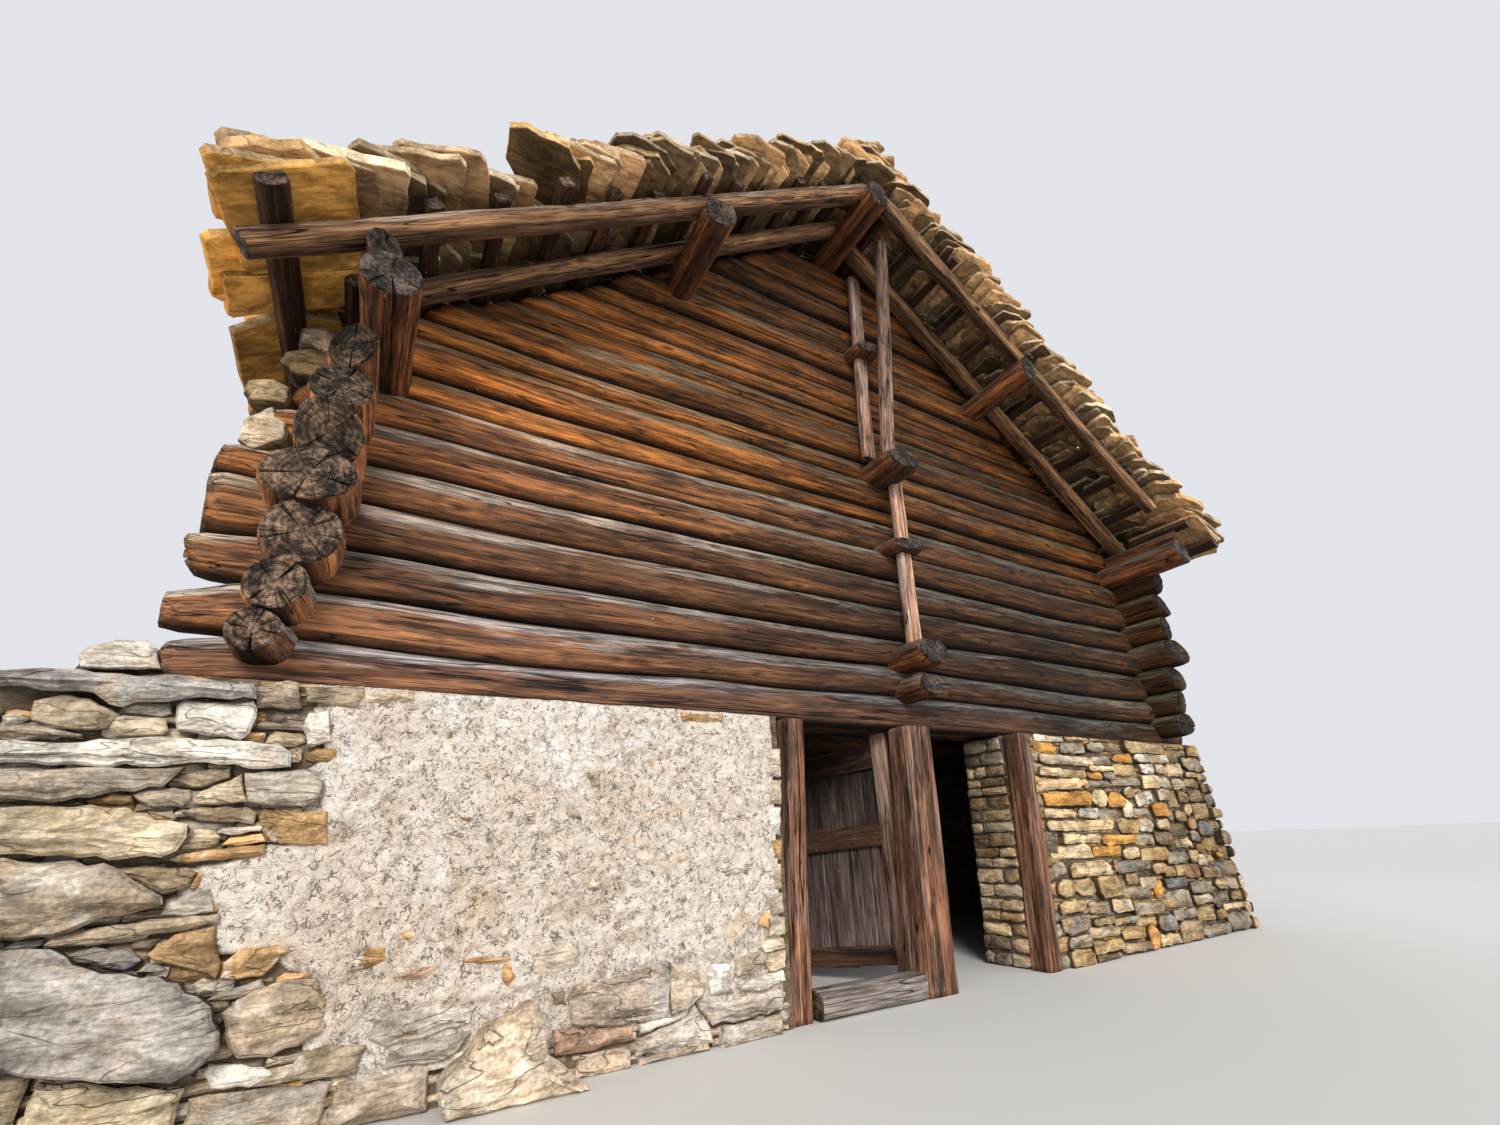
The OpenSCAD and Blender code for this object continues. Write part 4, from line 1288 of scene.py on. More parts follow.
def side_log(B, j, s, seed, m=20):
    a = side_reach(j)
    r = np.random.default_rng(seed + j)
    af = a if j else -0.17
    y = np.concatenate([-af + 0.6 * np.linspace(0, 1, 12, endpoint=False) ** 1.2, np.linspace(-af + 0.6, BODY_D + a - 0.5, 46, endpoint=False), BODY_D + a - 0.5 * np.linspace(1, 0, 8)])
    z0, z1 = mid(j - 1), mid(j)
    wav = lambda kk, zz: zz + (0.022 * noise3(np.stack([y * 0.35, np.full_like(y, kk * 4.1), np.full_like(y, s * 3.0)], -1), 41) if kk >= 0 else 0.0)
    zb, zt = wav(j - 1, z0), wav(j, z1)
    out = 1 - smooth(np.minimum(y, BODY_D - y), -0.15, 0.1)
    front = 1 - smooth(y, -0.15, 0.1)
    wx, wz, t0 = SIDE_ENDS.get(j, (1.0, 1.0, (0.0, 0.0)))
    if s > 0:
        wx, wz, t0 = 1.0 + 0.1 * r.uniform(-1, 1), 1.0, tuple(r.uniform(-0.25, 0.25, 2))
    w = (z1 - z0) * 1.12 if j else (mid(1) - mid(0)) * 1.12
    hh = ((zt - zb) / 2 + 0.004) * (1 + 0.06 * out) * (1 + (wz - 1) * front)
    d = np.minimum(y + af, BODY_D + a - y)
    end = 1 - smooth(d, -0.01, 0.05)
    hw = w / 2 * (1 + (wx - 1) * front) * (1 - 0.07 * end)
    hh = hh * (1 - 0.07 * end)
    shift = {1: -0.08, 2: -0.045, 4: -0.02}.get(j, 0.0) if s < 0 else 0.0
    C = np.stack([s * AX + shift * (1 - smooth(y, -0.3, 0.7)) + 0.01 * noise3(np.stack([y * 0.4, np.full_like(y, j * 1.3), np.full_like(y, s)], -1), 43), y, (zb + zt) / 2], 1)
    sp = end_checks(r, 4, 0.035, 0.3, 0.014) if j else []
    tube(B, C, (-1, 0, 0), (0, 0, 1), hw, hh, e=0.8 + 0.18 * out, m=m, rough=0.007, groove=0.003, seed=seed + j, tilt0=t0, tilt1=tuple(r.uniform(-0.25, 0.25, 2)), chamfer=0.012, rnd=r.random(3), splits=sp, fine_ends=(True, False))


def walls_of_logs():
    B = Build("front_sill_log_piece", 11)
    cross_log(B, 0, LOG_Y, 0, 100)
    B.make(MAT_LOG, replaces=["front_sill_log"])
    for name, ks, node in (("front_logs_a", [1, 3, 5], "front_logs_odd"), ("front_logs_b", [2, 4, 6], "front_logs_even")):
        B = Build(name, 12)
        for k in ks:
            cross_log(B, k, LOG_Y, 0, 100)
        B.make(MAT_LOG, replaces=[node])
    for name, ks, node in (
        ("front_gable_logs_a", range(7, COURSES, 2), "front_gable_logs_odd"),
        ("front_gable_logs_b", range(8, COURSES, 2), "front_gable_logs_even"),
    ):
        B = Build(name, 13)
        for k in ks:
            gable_log(B, k, LOG_Y, 0, 200)
        B.make(MAT_GABLE, replaces=[node])
    for name, ks, node in (("back_logs_a", [1, 3, 5], "back_logs_odd"), ("back_logs_b", [0, 2, 4, 6], "back_logs_even")):
        B = Build(name, 14)
        for k in ks:
            cross_log(B, k, BACK_Y, 5, 300, nst=60, m=20)
        B.make(MAT_LOG, replaces=[node])
    for name, ks, node in (
        ("back_gable_logs_a", range(7, COURSES, 2), "back_gable_logs_odd"),
        ("back_gable_logs_b", range(8, COURSES, 2), "back_gable_logs_even"),
    ):
        B = Build(name, 15)
        for k in ks:
            gable_log(B, k, BACK_Y, 5, 400, nst=60, m=20)
        B.make(MAT_GABLE, replaces=[node])
    for s, side in ((-1, "left"), (1, "right")):
        for tag, js in (("odd", [1, 3, 5, 7]), ("even", [0, 2, 4, 6])):
            B = Build(f"{side}_logs_{tag}_piece", 16)
            for j in js:
                side_log(B, j, s, 500 if s < 0 else 600)
            B.make(MAT_LOG, replaces=[f"{side}_logs_{tag}"])


# ------------------------------------------------------------------
# roof timbers
# ------------------------------------------------------------------
def on_slope(s, u, y, h):
    """Point u down the slope from the ridge line, h square above the rafters' undersides."""
    return np.array([s * (u * CT + h * ST), y, RAFTER_LINE - u * ST + h * CT])


RAFTER_Y = [-0.75] + [-0.125 + i * (BODY_D + 0.25) / 9 for i in range(10)] + [BODY_D + 0.75]


def roof_timbers():
    r = np.random.default_rng(3)
    B = Build("ridge_purlin_piece", 21)
    stick(B, (0, -PURLIN_OUT - 0.02, RIDGE_Z), (0, BODY_D + PURLIN_OUT + 0.02, RIDGE_Z), (0, 0, 1), RIDGE_D, RIDGE_D, n=60, m=24, wob=0.008, seed=31, e=0.9, rough=0.01, tilt0=(0.1, 0.12), chamfer=0.012, splits=[(3.9, 0, 3, 0.03, 0.016), (4.9, 0, 1.6, 0.03, 0.014), (2.6, 0, 2.2, 0.02, 0.012)] + end_checks(r, 3, 0.03, 0.3), fine_ends=(True, False))
    B.make(MAT_BEAM, replaces=["ridge_purlin"])
    B = Build("mid_purlins_piece", 22)
    for s in (-1, 1):
        stick(B, (s * MID_X, -PURLIN_OUT, MID_Z), (s * MID_X, BODY_D + PURLIN_OUT, MID_Z), (0, 0, 1), MID_D, MID_D, n=60, m=24, wob=0.008, seed=33 + s, e=0.92, rough=0.01, tilt0=(0.12 * s, 0.1), chamfer=0.012, splits=[(4.1 + 0.3 * s, 0, 2.4, 0.03, 0.016), (5.2, 0, 1.4, 0.026, 0.013)] + end_checks(r, 3, 0.03, 0.3), fine_ends=(True, False))
    B.make(MAT_BEAM, replaces=["mid_purlins"])
    for s, side in ((-1, "left"), (1, "right")):
        B = Build(f"{side}_eaves_purlin_piece", 23)
        z = EAVES_Z + EAVES_D / 2
        stick(B, (s * EAVES_X, -PURLIN_OUT, z), (s * EAVES_X, BODY_D + PURLIN_OUT, z), (0, 0, 1), EAVES_D, EAVES_D, n=70, m=26, wob=0.006, seed=36 + s, e=0.95, rough=0.008, chamfer=0.012, tilt0=(0.05, -0.06), splits=[(4.45, 0, 1.5, 0.05, 0.02), (5.3, 0, 1.2, 0.03, 0.014), (3.4, 0, 1.6, 0.03, 0.014)] + end_checks(r, 3, 0.03, 0.25), fine_ends=(True, False))
        B.make(MAT_BEAM, replaces=[f"{side}_eaves_purlin"])
    B = Build("eaves_plates_piece", 24)
    for s in (-1, 1):
        stick(B, (s * PLATE_X, -PURLIN_OUT + 0.06, PLATE_Z), (s * PLATE_X, BODY_D + PURLIN_OUT - 0.06, PLATE_Z), (0, 0, 1), PLATE_D, PLATE_D, n=60, m=20, wob=0.008, seed=41 + s, e=0.95, rough=0.014, tilt0=(0.5, 0.5), chamfer=0.006, splits=[(4.6, 0, 1.0, 0.03, 0.016)] + end_checks(r, 3, 0.04, 0.2, 0.018), fine_ends=(True, False))
    B.make(MAT_BEAM, replaces=["eaves_plates"])
    length = 4.64 / CT
    for s, side in ((-1, "left"), (1, "right")):
        B = Build(f"{side}_rafters_piece", 25)
        for i, y in enumerate(RAFTER_Y):
            r = np.random.default_rng(50 + i + (s > 0) * 20)
            front = i < 2
            d = POLE_D * (1.0 + 0.08 * r.uniform(-1, 1))
            taper = 0.12
            if front:
                d, taper = (0.168, 0.26) if i == 0 else (0.158, 0.1)
            u0 = -0.02 + 0.16 * (i % 2) * (s > 0)
            ext = 0.05 * r.uniform(-1, 1)
            if s < 0 and i == 1:
                ext = -0.72
                y = -0.26
            if i == 0:
                ext = -0.11 if s < 0 else -1.1
            p0 = on_slope(s, u0 + 0.07, y, POLE_D / 2)
            p1 = on_slope(s, length + ext, y + 0.02 * r.uniform(-1, 1), POLE_D / 2)
            up = (s * ST, 0, CT)
            sp = []
            if front:
                sp = [(3.3 if s < 0 else 5.9, 0.3, 3.4, 0.03, 0.014), (2.7, 2.8, 6.2, 0.03, 0.016), (4.4, 0.6, 2.9, 0.02, 0.012), (5.2, 3.0, 5.6, 0.025, 0.014), (3.9, 3.6, 6.2, 0.02, 0.012), (0.6, 1.0, 4.6, 0.025, 0.014)]
            stick(B, p0, p1, up, d * (1.22 if s > 0 and i == 1 else 1.0), d, n=64 if front else 24, m=20 if front else 10, wob=0.02 if front else 0.014, taper=taper, seed=50 + i + (s > 0) * 20, e=0.93, rough=0.01, chamfer=0.008, splits=sp, fine_ends=(False, front), rnd=(0.0, 0.4, 0.4) if i == 0 else (0.3 if i == 1 and s > 0 else 0.0, 0.15, 0.1 * i))
        B.make(MAT_POLE, replaces=[f"{side}_rafters"])
        B = Build(f"{side}_battens_piece", 26)
        nb = 13
        step = (4.47 / CT - 0.26) / (nb - 1)
        for i in range(nb):
            last = i == nb - 1
            wide = 0.15 if last else 0.1
            tall = BATTEN_T
            u = 0.26 + i * step - (0.1 if last else 0.0)
            r = np.random.default_rng(80 + i + (s > 0) * 20)
            out0 = 0.3 if i == nb - 2 and s < 0 else VERGE - 0.01 if last else (VERGE - 0.1 if r.random() < 0.3 else 0.76 + 0.09 * r.random())
            p0 = on_slope(s, u, -out0, POLE_D + BATTEN_T / 2)
            p1 = on_slope(s, u, BODY_D + VERGE - 0.11, POLE_D + BATTEN_T / 2)
            stick(B, p0, p1, (s * ST, 0, CT), wide, tall, n=26, m=10, wob=0.008, seed=80 + i + (s > 0) * 20, e=0.5, rough=0.007, chamfer=0.005)
        B.make(MAT_BATTEN, replaces=[f"{side}_battens"])


# ------------------------------------------------------------------
# stone slabs of the roof
# ------------------------------------------------------------------
BED = POLE_D + BATTEN_T
LAY = math.radians(28)


def slab(B, s, u0, y0, L, W, th, h0, tilt, yaw, rs, fine=0, both=False, xlim=EAVE_X + 0.015, rnd=None, cut=0.6, big=0.34, step=0.24):
    """One split slab, its upper edge at u0 down the slope and its middle at y0, flatter than the slope by tilt."""
    over = (u0 + L * math.cos(tilt)) * CT + (h0 + L * math.sin(tilt) + th + BED) * ST - xlim
    if over > 0:
        L = max(0.2, L - over / (CT * math.cos(tilt) + ST * math.sin(tilt)))
    poly = outline(rs, L, W, skew=0.12, cut=cut * 0.62, big=big * 0.72)
    poly[:, 0] += L / 2
    cy, sy_ = math.cos(yaw), math.sin(yaw)
    ct, st = math.cos(tilt), math.sin(tilt)

    def place(V):
        a = V[:, 0] * cy - V[:, 1] * sy_
        b = V[:, 0] * sy_ + V[:, 1] * cy
        c = V[:, 2] + th
        U = u0 + a * ct - c * st
        H = h0 + a * st + c * ct + BED
        return np.stack([s * (U * CT + H * ST), y0 + b, RAFTER_LINE - U * ST + H * CT], 1)

    lump(B, poly, th, place, rs, cham=0.006, bulge=0.002, amp=0.006 if both else 0.005, step=step, jit=0.014, rnd=rnd, fine=fine, freq=6.0, both=both)


def roof_slabs():
    y_lo, y_hi = -VERGE, BODY_D + VERGE
    for s, side in ((-1, "left"), (1, "right")):
        B = Build(f"{side}_slabs_piece", 61)
        E = Build(f"{side}_eaves_slabs_piece", 62)
        rs = np.random.default_rng(61 + s)
        # plates along the eaves, laid nearly along the slope on the last batten
        for li, (h0, tl, ln) in enumerate(((0.0, 5, 0.72), (0.058, 6 if s < 0 else 8, 0.66), (0.118, 12, 0.58))[: 2 if s < 0 else 3]):
            y = y_lo + rs.uniform(-0.01, 0.02)
            first = [0.72, 0.34, 1.0, 0.55] if (li == 0 and s < 0) else []
            k = 0
            while y < y_hi - 0.05:
                w = first[k] if k < len(first) else rs.uniform(0.4, 0.95)
                k += 1
                if y_hi - (y + w) < 0.3:
                    w = y_hi - y
                th = rs.uniform(0.05, 0.065)
                jut = rs.uniform(-0.05, 0.015)
                slab(E, s, (6.005 if s < 0 else 5.99) - ln + jut, y + w / 2, ln, w * 0.985, th if s < 0 else 0.8 * th, h0, math.radians(tl + rs.uniform(-1.5, 1.5)), rs.uniform(-0.04, 0.04), rs, fine=1 if y < 3 else 0, both=True, xlim=EAVE_X + (0.075 if s < 0 else 0.06) + jut, cut=0.55, big=0.28, step=0.16)
                y += w
        E.make(MAT_EAVE if s < 0 else MAT_ROOF, smooth_faces=False)
        u = 5.36
        while u > -0.06:
            f = np.clip(u / 5.4, 0, 1)
            expo = 0.093 + 0.042 * f * f
            late = np.clip((u - 4.9) / 0.46, 0, 1)
            h_row = (0.105 if s < 0 else 0.15) * late
            tilt = LAY - math.radians(17 if s < 0 else 14) * late
            y = y_lo + rs.uniform(-0.03, 0.07)
            dip = s < 0 and 3.76 < u < 4.0
            lip = s < 0 and 3.52 < u <= 3.76
            if dip:
                y += 0.42
            elif s < 0 and 4.0 <= u < 4.36:
                y += 0.2 * (4.42 - u) / 0.4
            k = 0
            while y < y_hi - 0.06:
                w = rs.uniform(0.32, 0.8)
                if k == 0:
                    w = rs.uniform(0.36, 0.66)
                if y_hi - (y + w) < 0.22:
                    w = y_hi - y + rs.uniform(-0.04, 0.03)
                near = y < 0.35
                edge = k == 0 or y + w > y_hi - 0.05
                th = expo * math.sin(LAY) * rs.uniform(0.78, 1.2) * (1.12 if edge else 1.0)
                slab(
                    B,
                    s,
                    u + rs.uniform(-0.035, 0.035),
                    y + w / 2,
                    rs.uniform(0.42, 0.6) if edge else rs.uniform(0.46, 0.56),
                    w * rs.uniform(0.96, 1.04),
                    th,
                    h_row + rs.uniform(-0.006, 0.016),
                    tilt + math.radians(rs.uniform(-3.5, 3.0) + (5.0 if lip and k == 0 else 0.0)),
                    rs.uniform(-0.14, 0.14) if edge else rs.uniform(-0.07, 0.07),
                    rs,
                    fine=1 if edge else 0,
                    both=edge or near,
                    cut=0.8 if edge else 0.5,
                    big=0.42 if edge else 0.3,
                    step=0.12 if edge else (0.22 if near else 0.42),
                )
                y += w
                k += 1
            u -= expo
        B.make(MAT_ROOF, replaces=[f"{side}_roof_slabs"], smooth_faces=False)
    B = Build("ridge_slabs_piece", 63)
    rs = np.random.default_rng(66)
    for zb, half in ((7.64, 0.36), (7.70, 0.5), (7.76, 0.46), (7.82, 0.4), (7.88, 0.33), (7.94, 0.27), (7.995, 0.22), (8.045, 0.27)):
        y = y_lo + rs.uniform(-0.01, 0.03)
        if zb > 8.03:
            y += 0.12
        while y < y_hi - 0.1:
            w = rs.uniform(0.35, 0.75)
            if y_hi - (y + w) < 0.25:
                w = y_hi - y
            hh_ = half * rs.uniform(0.85, 1.08)
            th = rs.uniform(0.048, 0.062)
            if zb < 8.03 or rs.random() < 0.8:
                poly = outline(rs, 2 * hh_, w * 0.99, skew=0.12, cut=0.7, big=0.36)
                lump(B, poly, th, laid_flat((rs.uniform(-0.035, 0.035), y + w / 2, zb + th), rs.uniform(-0.06, 0.06), rs.uniform(-0.04, 0.04), rs.uniform(-0.015, 0.015)), rs, cham=0.012, bulge=0.004, amp=0.008, step=0.16, jit=0.02, fine=1, freq=6.0, both=True)
            y += w
    # the small stone that caps the front of the ridge
    lump(B, outline(rs, 0.26, 0.3, cut=0.8, big=0.4), 0.05, laid_flat((0.02, y_lo + 0.17, 8.095), 0.1, 0.03, 0.02), rs, cham=0.015, bulge=0.01, amp=0.012, step=0.06, jit=0.02, fine=1, both=True)
    B.make(MAT_ROOF, replaces=["ridge_slabs"], smooth_faces=False)


def corner_rubble():
    """Stones stuffed above the log tails at the front corners."""
    B = Build("corner_stones", 64)
    rs = np.random.default_rng(64)
    for x, y, z, w, h, d, turn in (
        (-4.34, 0.0, 3.77, 0.36, 0.24, 0.24, 0.25),
        (-4.3, -0.02, 3.93, 0.32, 0.2, 0.22, -0.1),
        (-4.47, 0.0, 3.22, 0.24, 0.3, 0.2, 0.35),
        (-4.13, 0.02, 3.83, 0.2, 0.16, 0.2, 0.0),
        (-4.52, 0.03, 3.5, 0.24, 0.2, 0.2, 0.3),
        (4.36, 0.0, 3.7, 0.34, 0.22, 0.24, -0.2),
        (4.3, 0.0, 3.9, 0.3, 0.18, 0.22, 0.1),
    ):
        lump(B, outline(rs, w, h, skew=0.12, cut=0.9, big=0.4), d, on_face((x, y, z), (1, 0, 0), (0, -1, 0), turn), rs, cham=0.03, bulge=0.02, amp=0.014, step=0.05, jit=0.012, fine=2, both=True, freq=9, rnd=tone_pick(rs, "YYPT"))
    B.make(MAT_WALL, smooth_faces=False)


# ------------------------------------------------------------------
# masonry
# ------------------------------------------------------------------
def rubble(length, height, rs, wr=(0.17, 0.42), hr=(0.08, 0.15), start=0.0):
    """Fill a face with stones of uneven height, always laying the next one in the lowest place."""
    segs = [(start, length, 0.0)]
    out = []
    guard = 0
    while guard < 6000:
        guard += 1
        i = min(range(len(segs)), key=lambda k: segs[k][2])
        a, b, z = segs[i]
        if z >= height - 0.012:
            break
        zl = segs[i - 1][2] if i > 0 else 1e9
        zr = segs[i + 1][2] if i + 1 < len(segs) else 1e9
        w = rs.uniform(*wr) * (1.45 if rs.random() < 0.12 else 1.0)
        span = b - a
        if span - w < 0.6 * wr[0]:
            w = span if span < 1.7 * wr[1] else span / 2
        h = rs.uniform(*hr) * (0.75 + 0.5 * min(w / wr[1], 1.4))
        low = min(zl, zr)
        if w < 0.55 * wr[0] and low < 1e8:
            h = max(low - z, 0.03)
        left = rs.random() < 0.5
        near = zl if left else zr
        if w >= span - 1e-9:
            near = zl if abs(zl - z - h) < abs(zr - z - h) else zr
        if abs(near - (z + h)) < 0.035 and near - z > 0.035:
            h = near - z
        if height - (z + h) < 0.7 * hr[0]:
            h = height - z
        u0, u1 = (a, a + w) if left else (b - w, b)
        out.append((u0, u1, z, z + h))
        new = []
        if u0 > a + 1e-9:
            new.append((a, u0, z))
        new.append((u0, u1, z + h))
        if u1 < b - 1e-9:
            new.append((u1, b, z))
        segs[i : i + 1] = new
        k = 0
        while k < len(segs) - 1:
            if abs(segs[k][2] - segs[k + 1][2]) < 1e-6:
                segs[k : k + 2] = [(segs[k][0], segs[k + 1][1], segs[k][2])]
            else:
                k += 1
    return out


def tone_pick(rs, letters):
    return tone_of(letters[int(rs.integers(len(letters)))], rs)


def lay_rubble(B, path, stones, rs, letters, proud=(0.015, 0.06), depth=0.16, gap=0.006, fine=1, amp=0.008, step=0.085, trim=None, cham=0.016, zmin=0.0):
    for u0, u1, z0, z1 in stones:
        if trim is not None:
            lo = trim((z0 + z1) / 2)
            if u1 < lo + 0.06:
                continue
            u0 = max(u0, lo)
        w, h = u1 - u0, z1 - z0
        if w < 0.035 or h < 0.02:
            continue
        P, T, N = path((u0 + u1) / 2)
        g = gap * rs.uniform(0.5, 1.6)
        pr = rs.uniform(*proud)
        poly = outline(rs, w - g, h - g, skew=0.12, cut=0.6, big=0.36)
        lump(B, poly, depth, on_face(np.asarray(P) + np.asarray(N) * pr + np.array([0, 0, (z0 + z1) / 2]), T, N, rs.uniform(-0.05, 0.05)), rs, cham=cham, bulge=0.012, amp=amp, step=step, jit=0.009, fine=fine, rnd=tone_pick(rs, letters), zmin=zmin)


def straight(p, t, n):
    p, t, n = np.asarray(p, float), np.asarray(t, float), np.asarray(n, float)
    return lambda u: (p + t * u, t, n)


# the wall right of the door way, stone by stone: x from, x to, z from, z to, tone
PIER = """
1.57 2.03 1.725 1.787 W|2.04 2.43 1.748 1.802 T|2.43 2.73 1.75 1.802 D|1.54 1.91 1.615 1.724 O|1.92 2.29 1.626 1.738 G
2.3 2.59 1.644 1.746 G|2.6 2.95 1.654 1.765 D|2.96 3.36 1.665 1.78 T|3.36 3.76 1.663 1.791 G|1.58 2.39 1.514 1.619 P
2.4 2.7 1.529 1.625 G|2.73 3.05 1.563 1.655 O|3.06 3.37 1.571 1.661 W|3.37 3.71 1.57 1.658 P|1.52 1.88 1.417 1.505 C
1.88 2.24 1.415 1.493 T|2.26 2.68 1.472 1.528 C|2.23 2.46 1.405 1.466 O|2.46 2.66 1.408 1.47 G|2.69 3.13 1.432 1.553 T
3.15 3.43 1.46 1.565 W|3.43 3.64 1.458 1.563 P|1.49 2.11 1.301 1.409 C|2.13 2.23 1.319 1.409 T|2.24 2.59 1.333 1.397 G
2.6 3.07 1.344 1.424 G|3.08 3.41 1.317 1.453 C|3.41 3.69 1.328 1.449 P|1.5 2.16 1.165 1.291 O|2.17 2.41 1.164 1.324 C
2.41 2.69 1.151 1.306 O|2.73 2.93 1.236 1.337 G|2.91 3.29 1.156 1.307 W|3.32 3.54 1.207 1.316 P|1.48 1.94 1.067 1.152 C
1.95 2.23 1.06 1.151 W|2.24 2.62 1.046 1.144 G|2.66 2.81 1.059 1.229 W|2.8 3.12 1.055 1.149 G|3.14 3.39 1.049 1.192 O
1.47 1.91 0.965 1.056 C|1.91 2.45 0.951 1.047 C|2.52 2.85 0.92 1.033 T|2.86 3.1 0.912 1.042 W|3.12 3.35 0.932 1.037 P
1.45 1.61 0.876 0.96 D|1.61 1.87 0.868 0.954 C|1.88 2.22 0.858 0.942 C|2.22 2.7 0.83 0.92 O|2.71 3.03 0.814 0.904 G
3.05 3.31 0.804 0.922 D|1.46 2.02 0.749 0.861 C|2.03 2.45 0.749 0.833 O|2.46 2.72 0.71 0.812 C|2.72 3.15 0.674 0.799 T
1.43 1.62 0.628 0.747 G|1.63 2.25 0.602 0.728 C|2.28 2.86 0.608 0.702 B|2.85 3.07 0.57 0.659 C|1.39 1.61 0.48 0.613 T
1.62 1.9 0.461 0.602 T|1.92 2.35 0.442 0.615 T|2.39 2.61 0.504 0.599 G|2.6 2.91 0.453 0.571 P|2.33 2.73 0.391 0.493 G
1.39 1.78 0.354 0.456 T|1.78 2.09 0.323 0.419 G|2.1 2.37 0.302 0.417 P|2.37 2.87 0.267 0.369 G|1.37 1.75 0.215 0.341 B
1.77 2.03 0.254 0.311 T|1.73 2.13 0.151 0.243 P|2.03 2.41 0.226 0.287 G|2.4 2.77 0.164 0.256 T|2.13 2.45 0.102 0.21 T
1.4 1.7 0.125 0.203 G|1.69 2.08 0.056 0.143 T|2.09 2.48 0.014 0.09 G|1.38 1.68 0.0 0.117 T|1.7 2.07 0.0 0.05 D
"""
PIER_END_Z = [0.05, 0.15, 0.2, 0.32, 0.41, 0.51, 0.61, 0.74, 0.86, 0.98, 1.12, 1.26, 1.39, 1.5, 1.61, 1.72]
PIER_END_X = [2.48, 2.45, 2.77, 2.87, 2.73, 2.91, 3.07, 3.15, 3.31, 3.35, 3.39, 3.54, 3.69, 3.64, 3.71, 3.76]


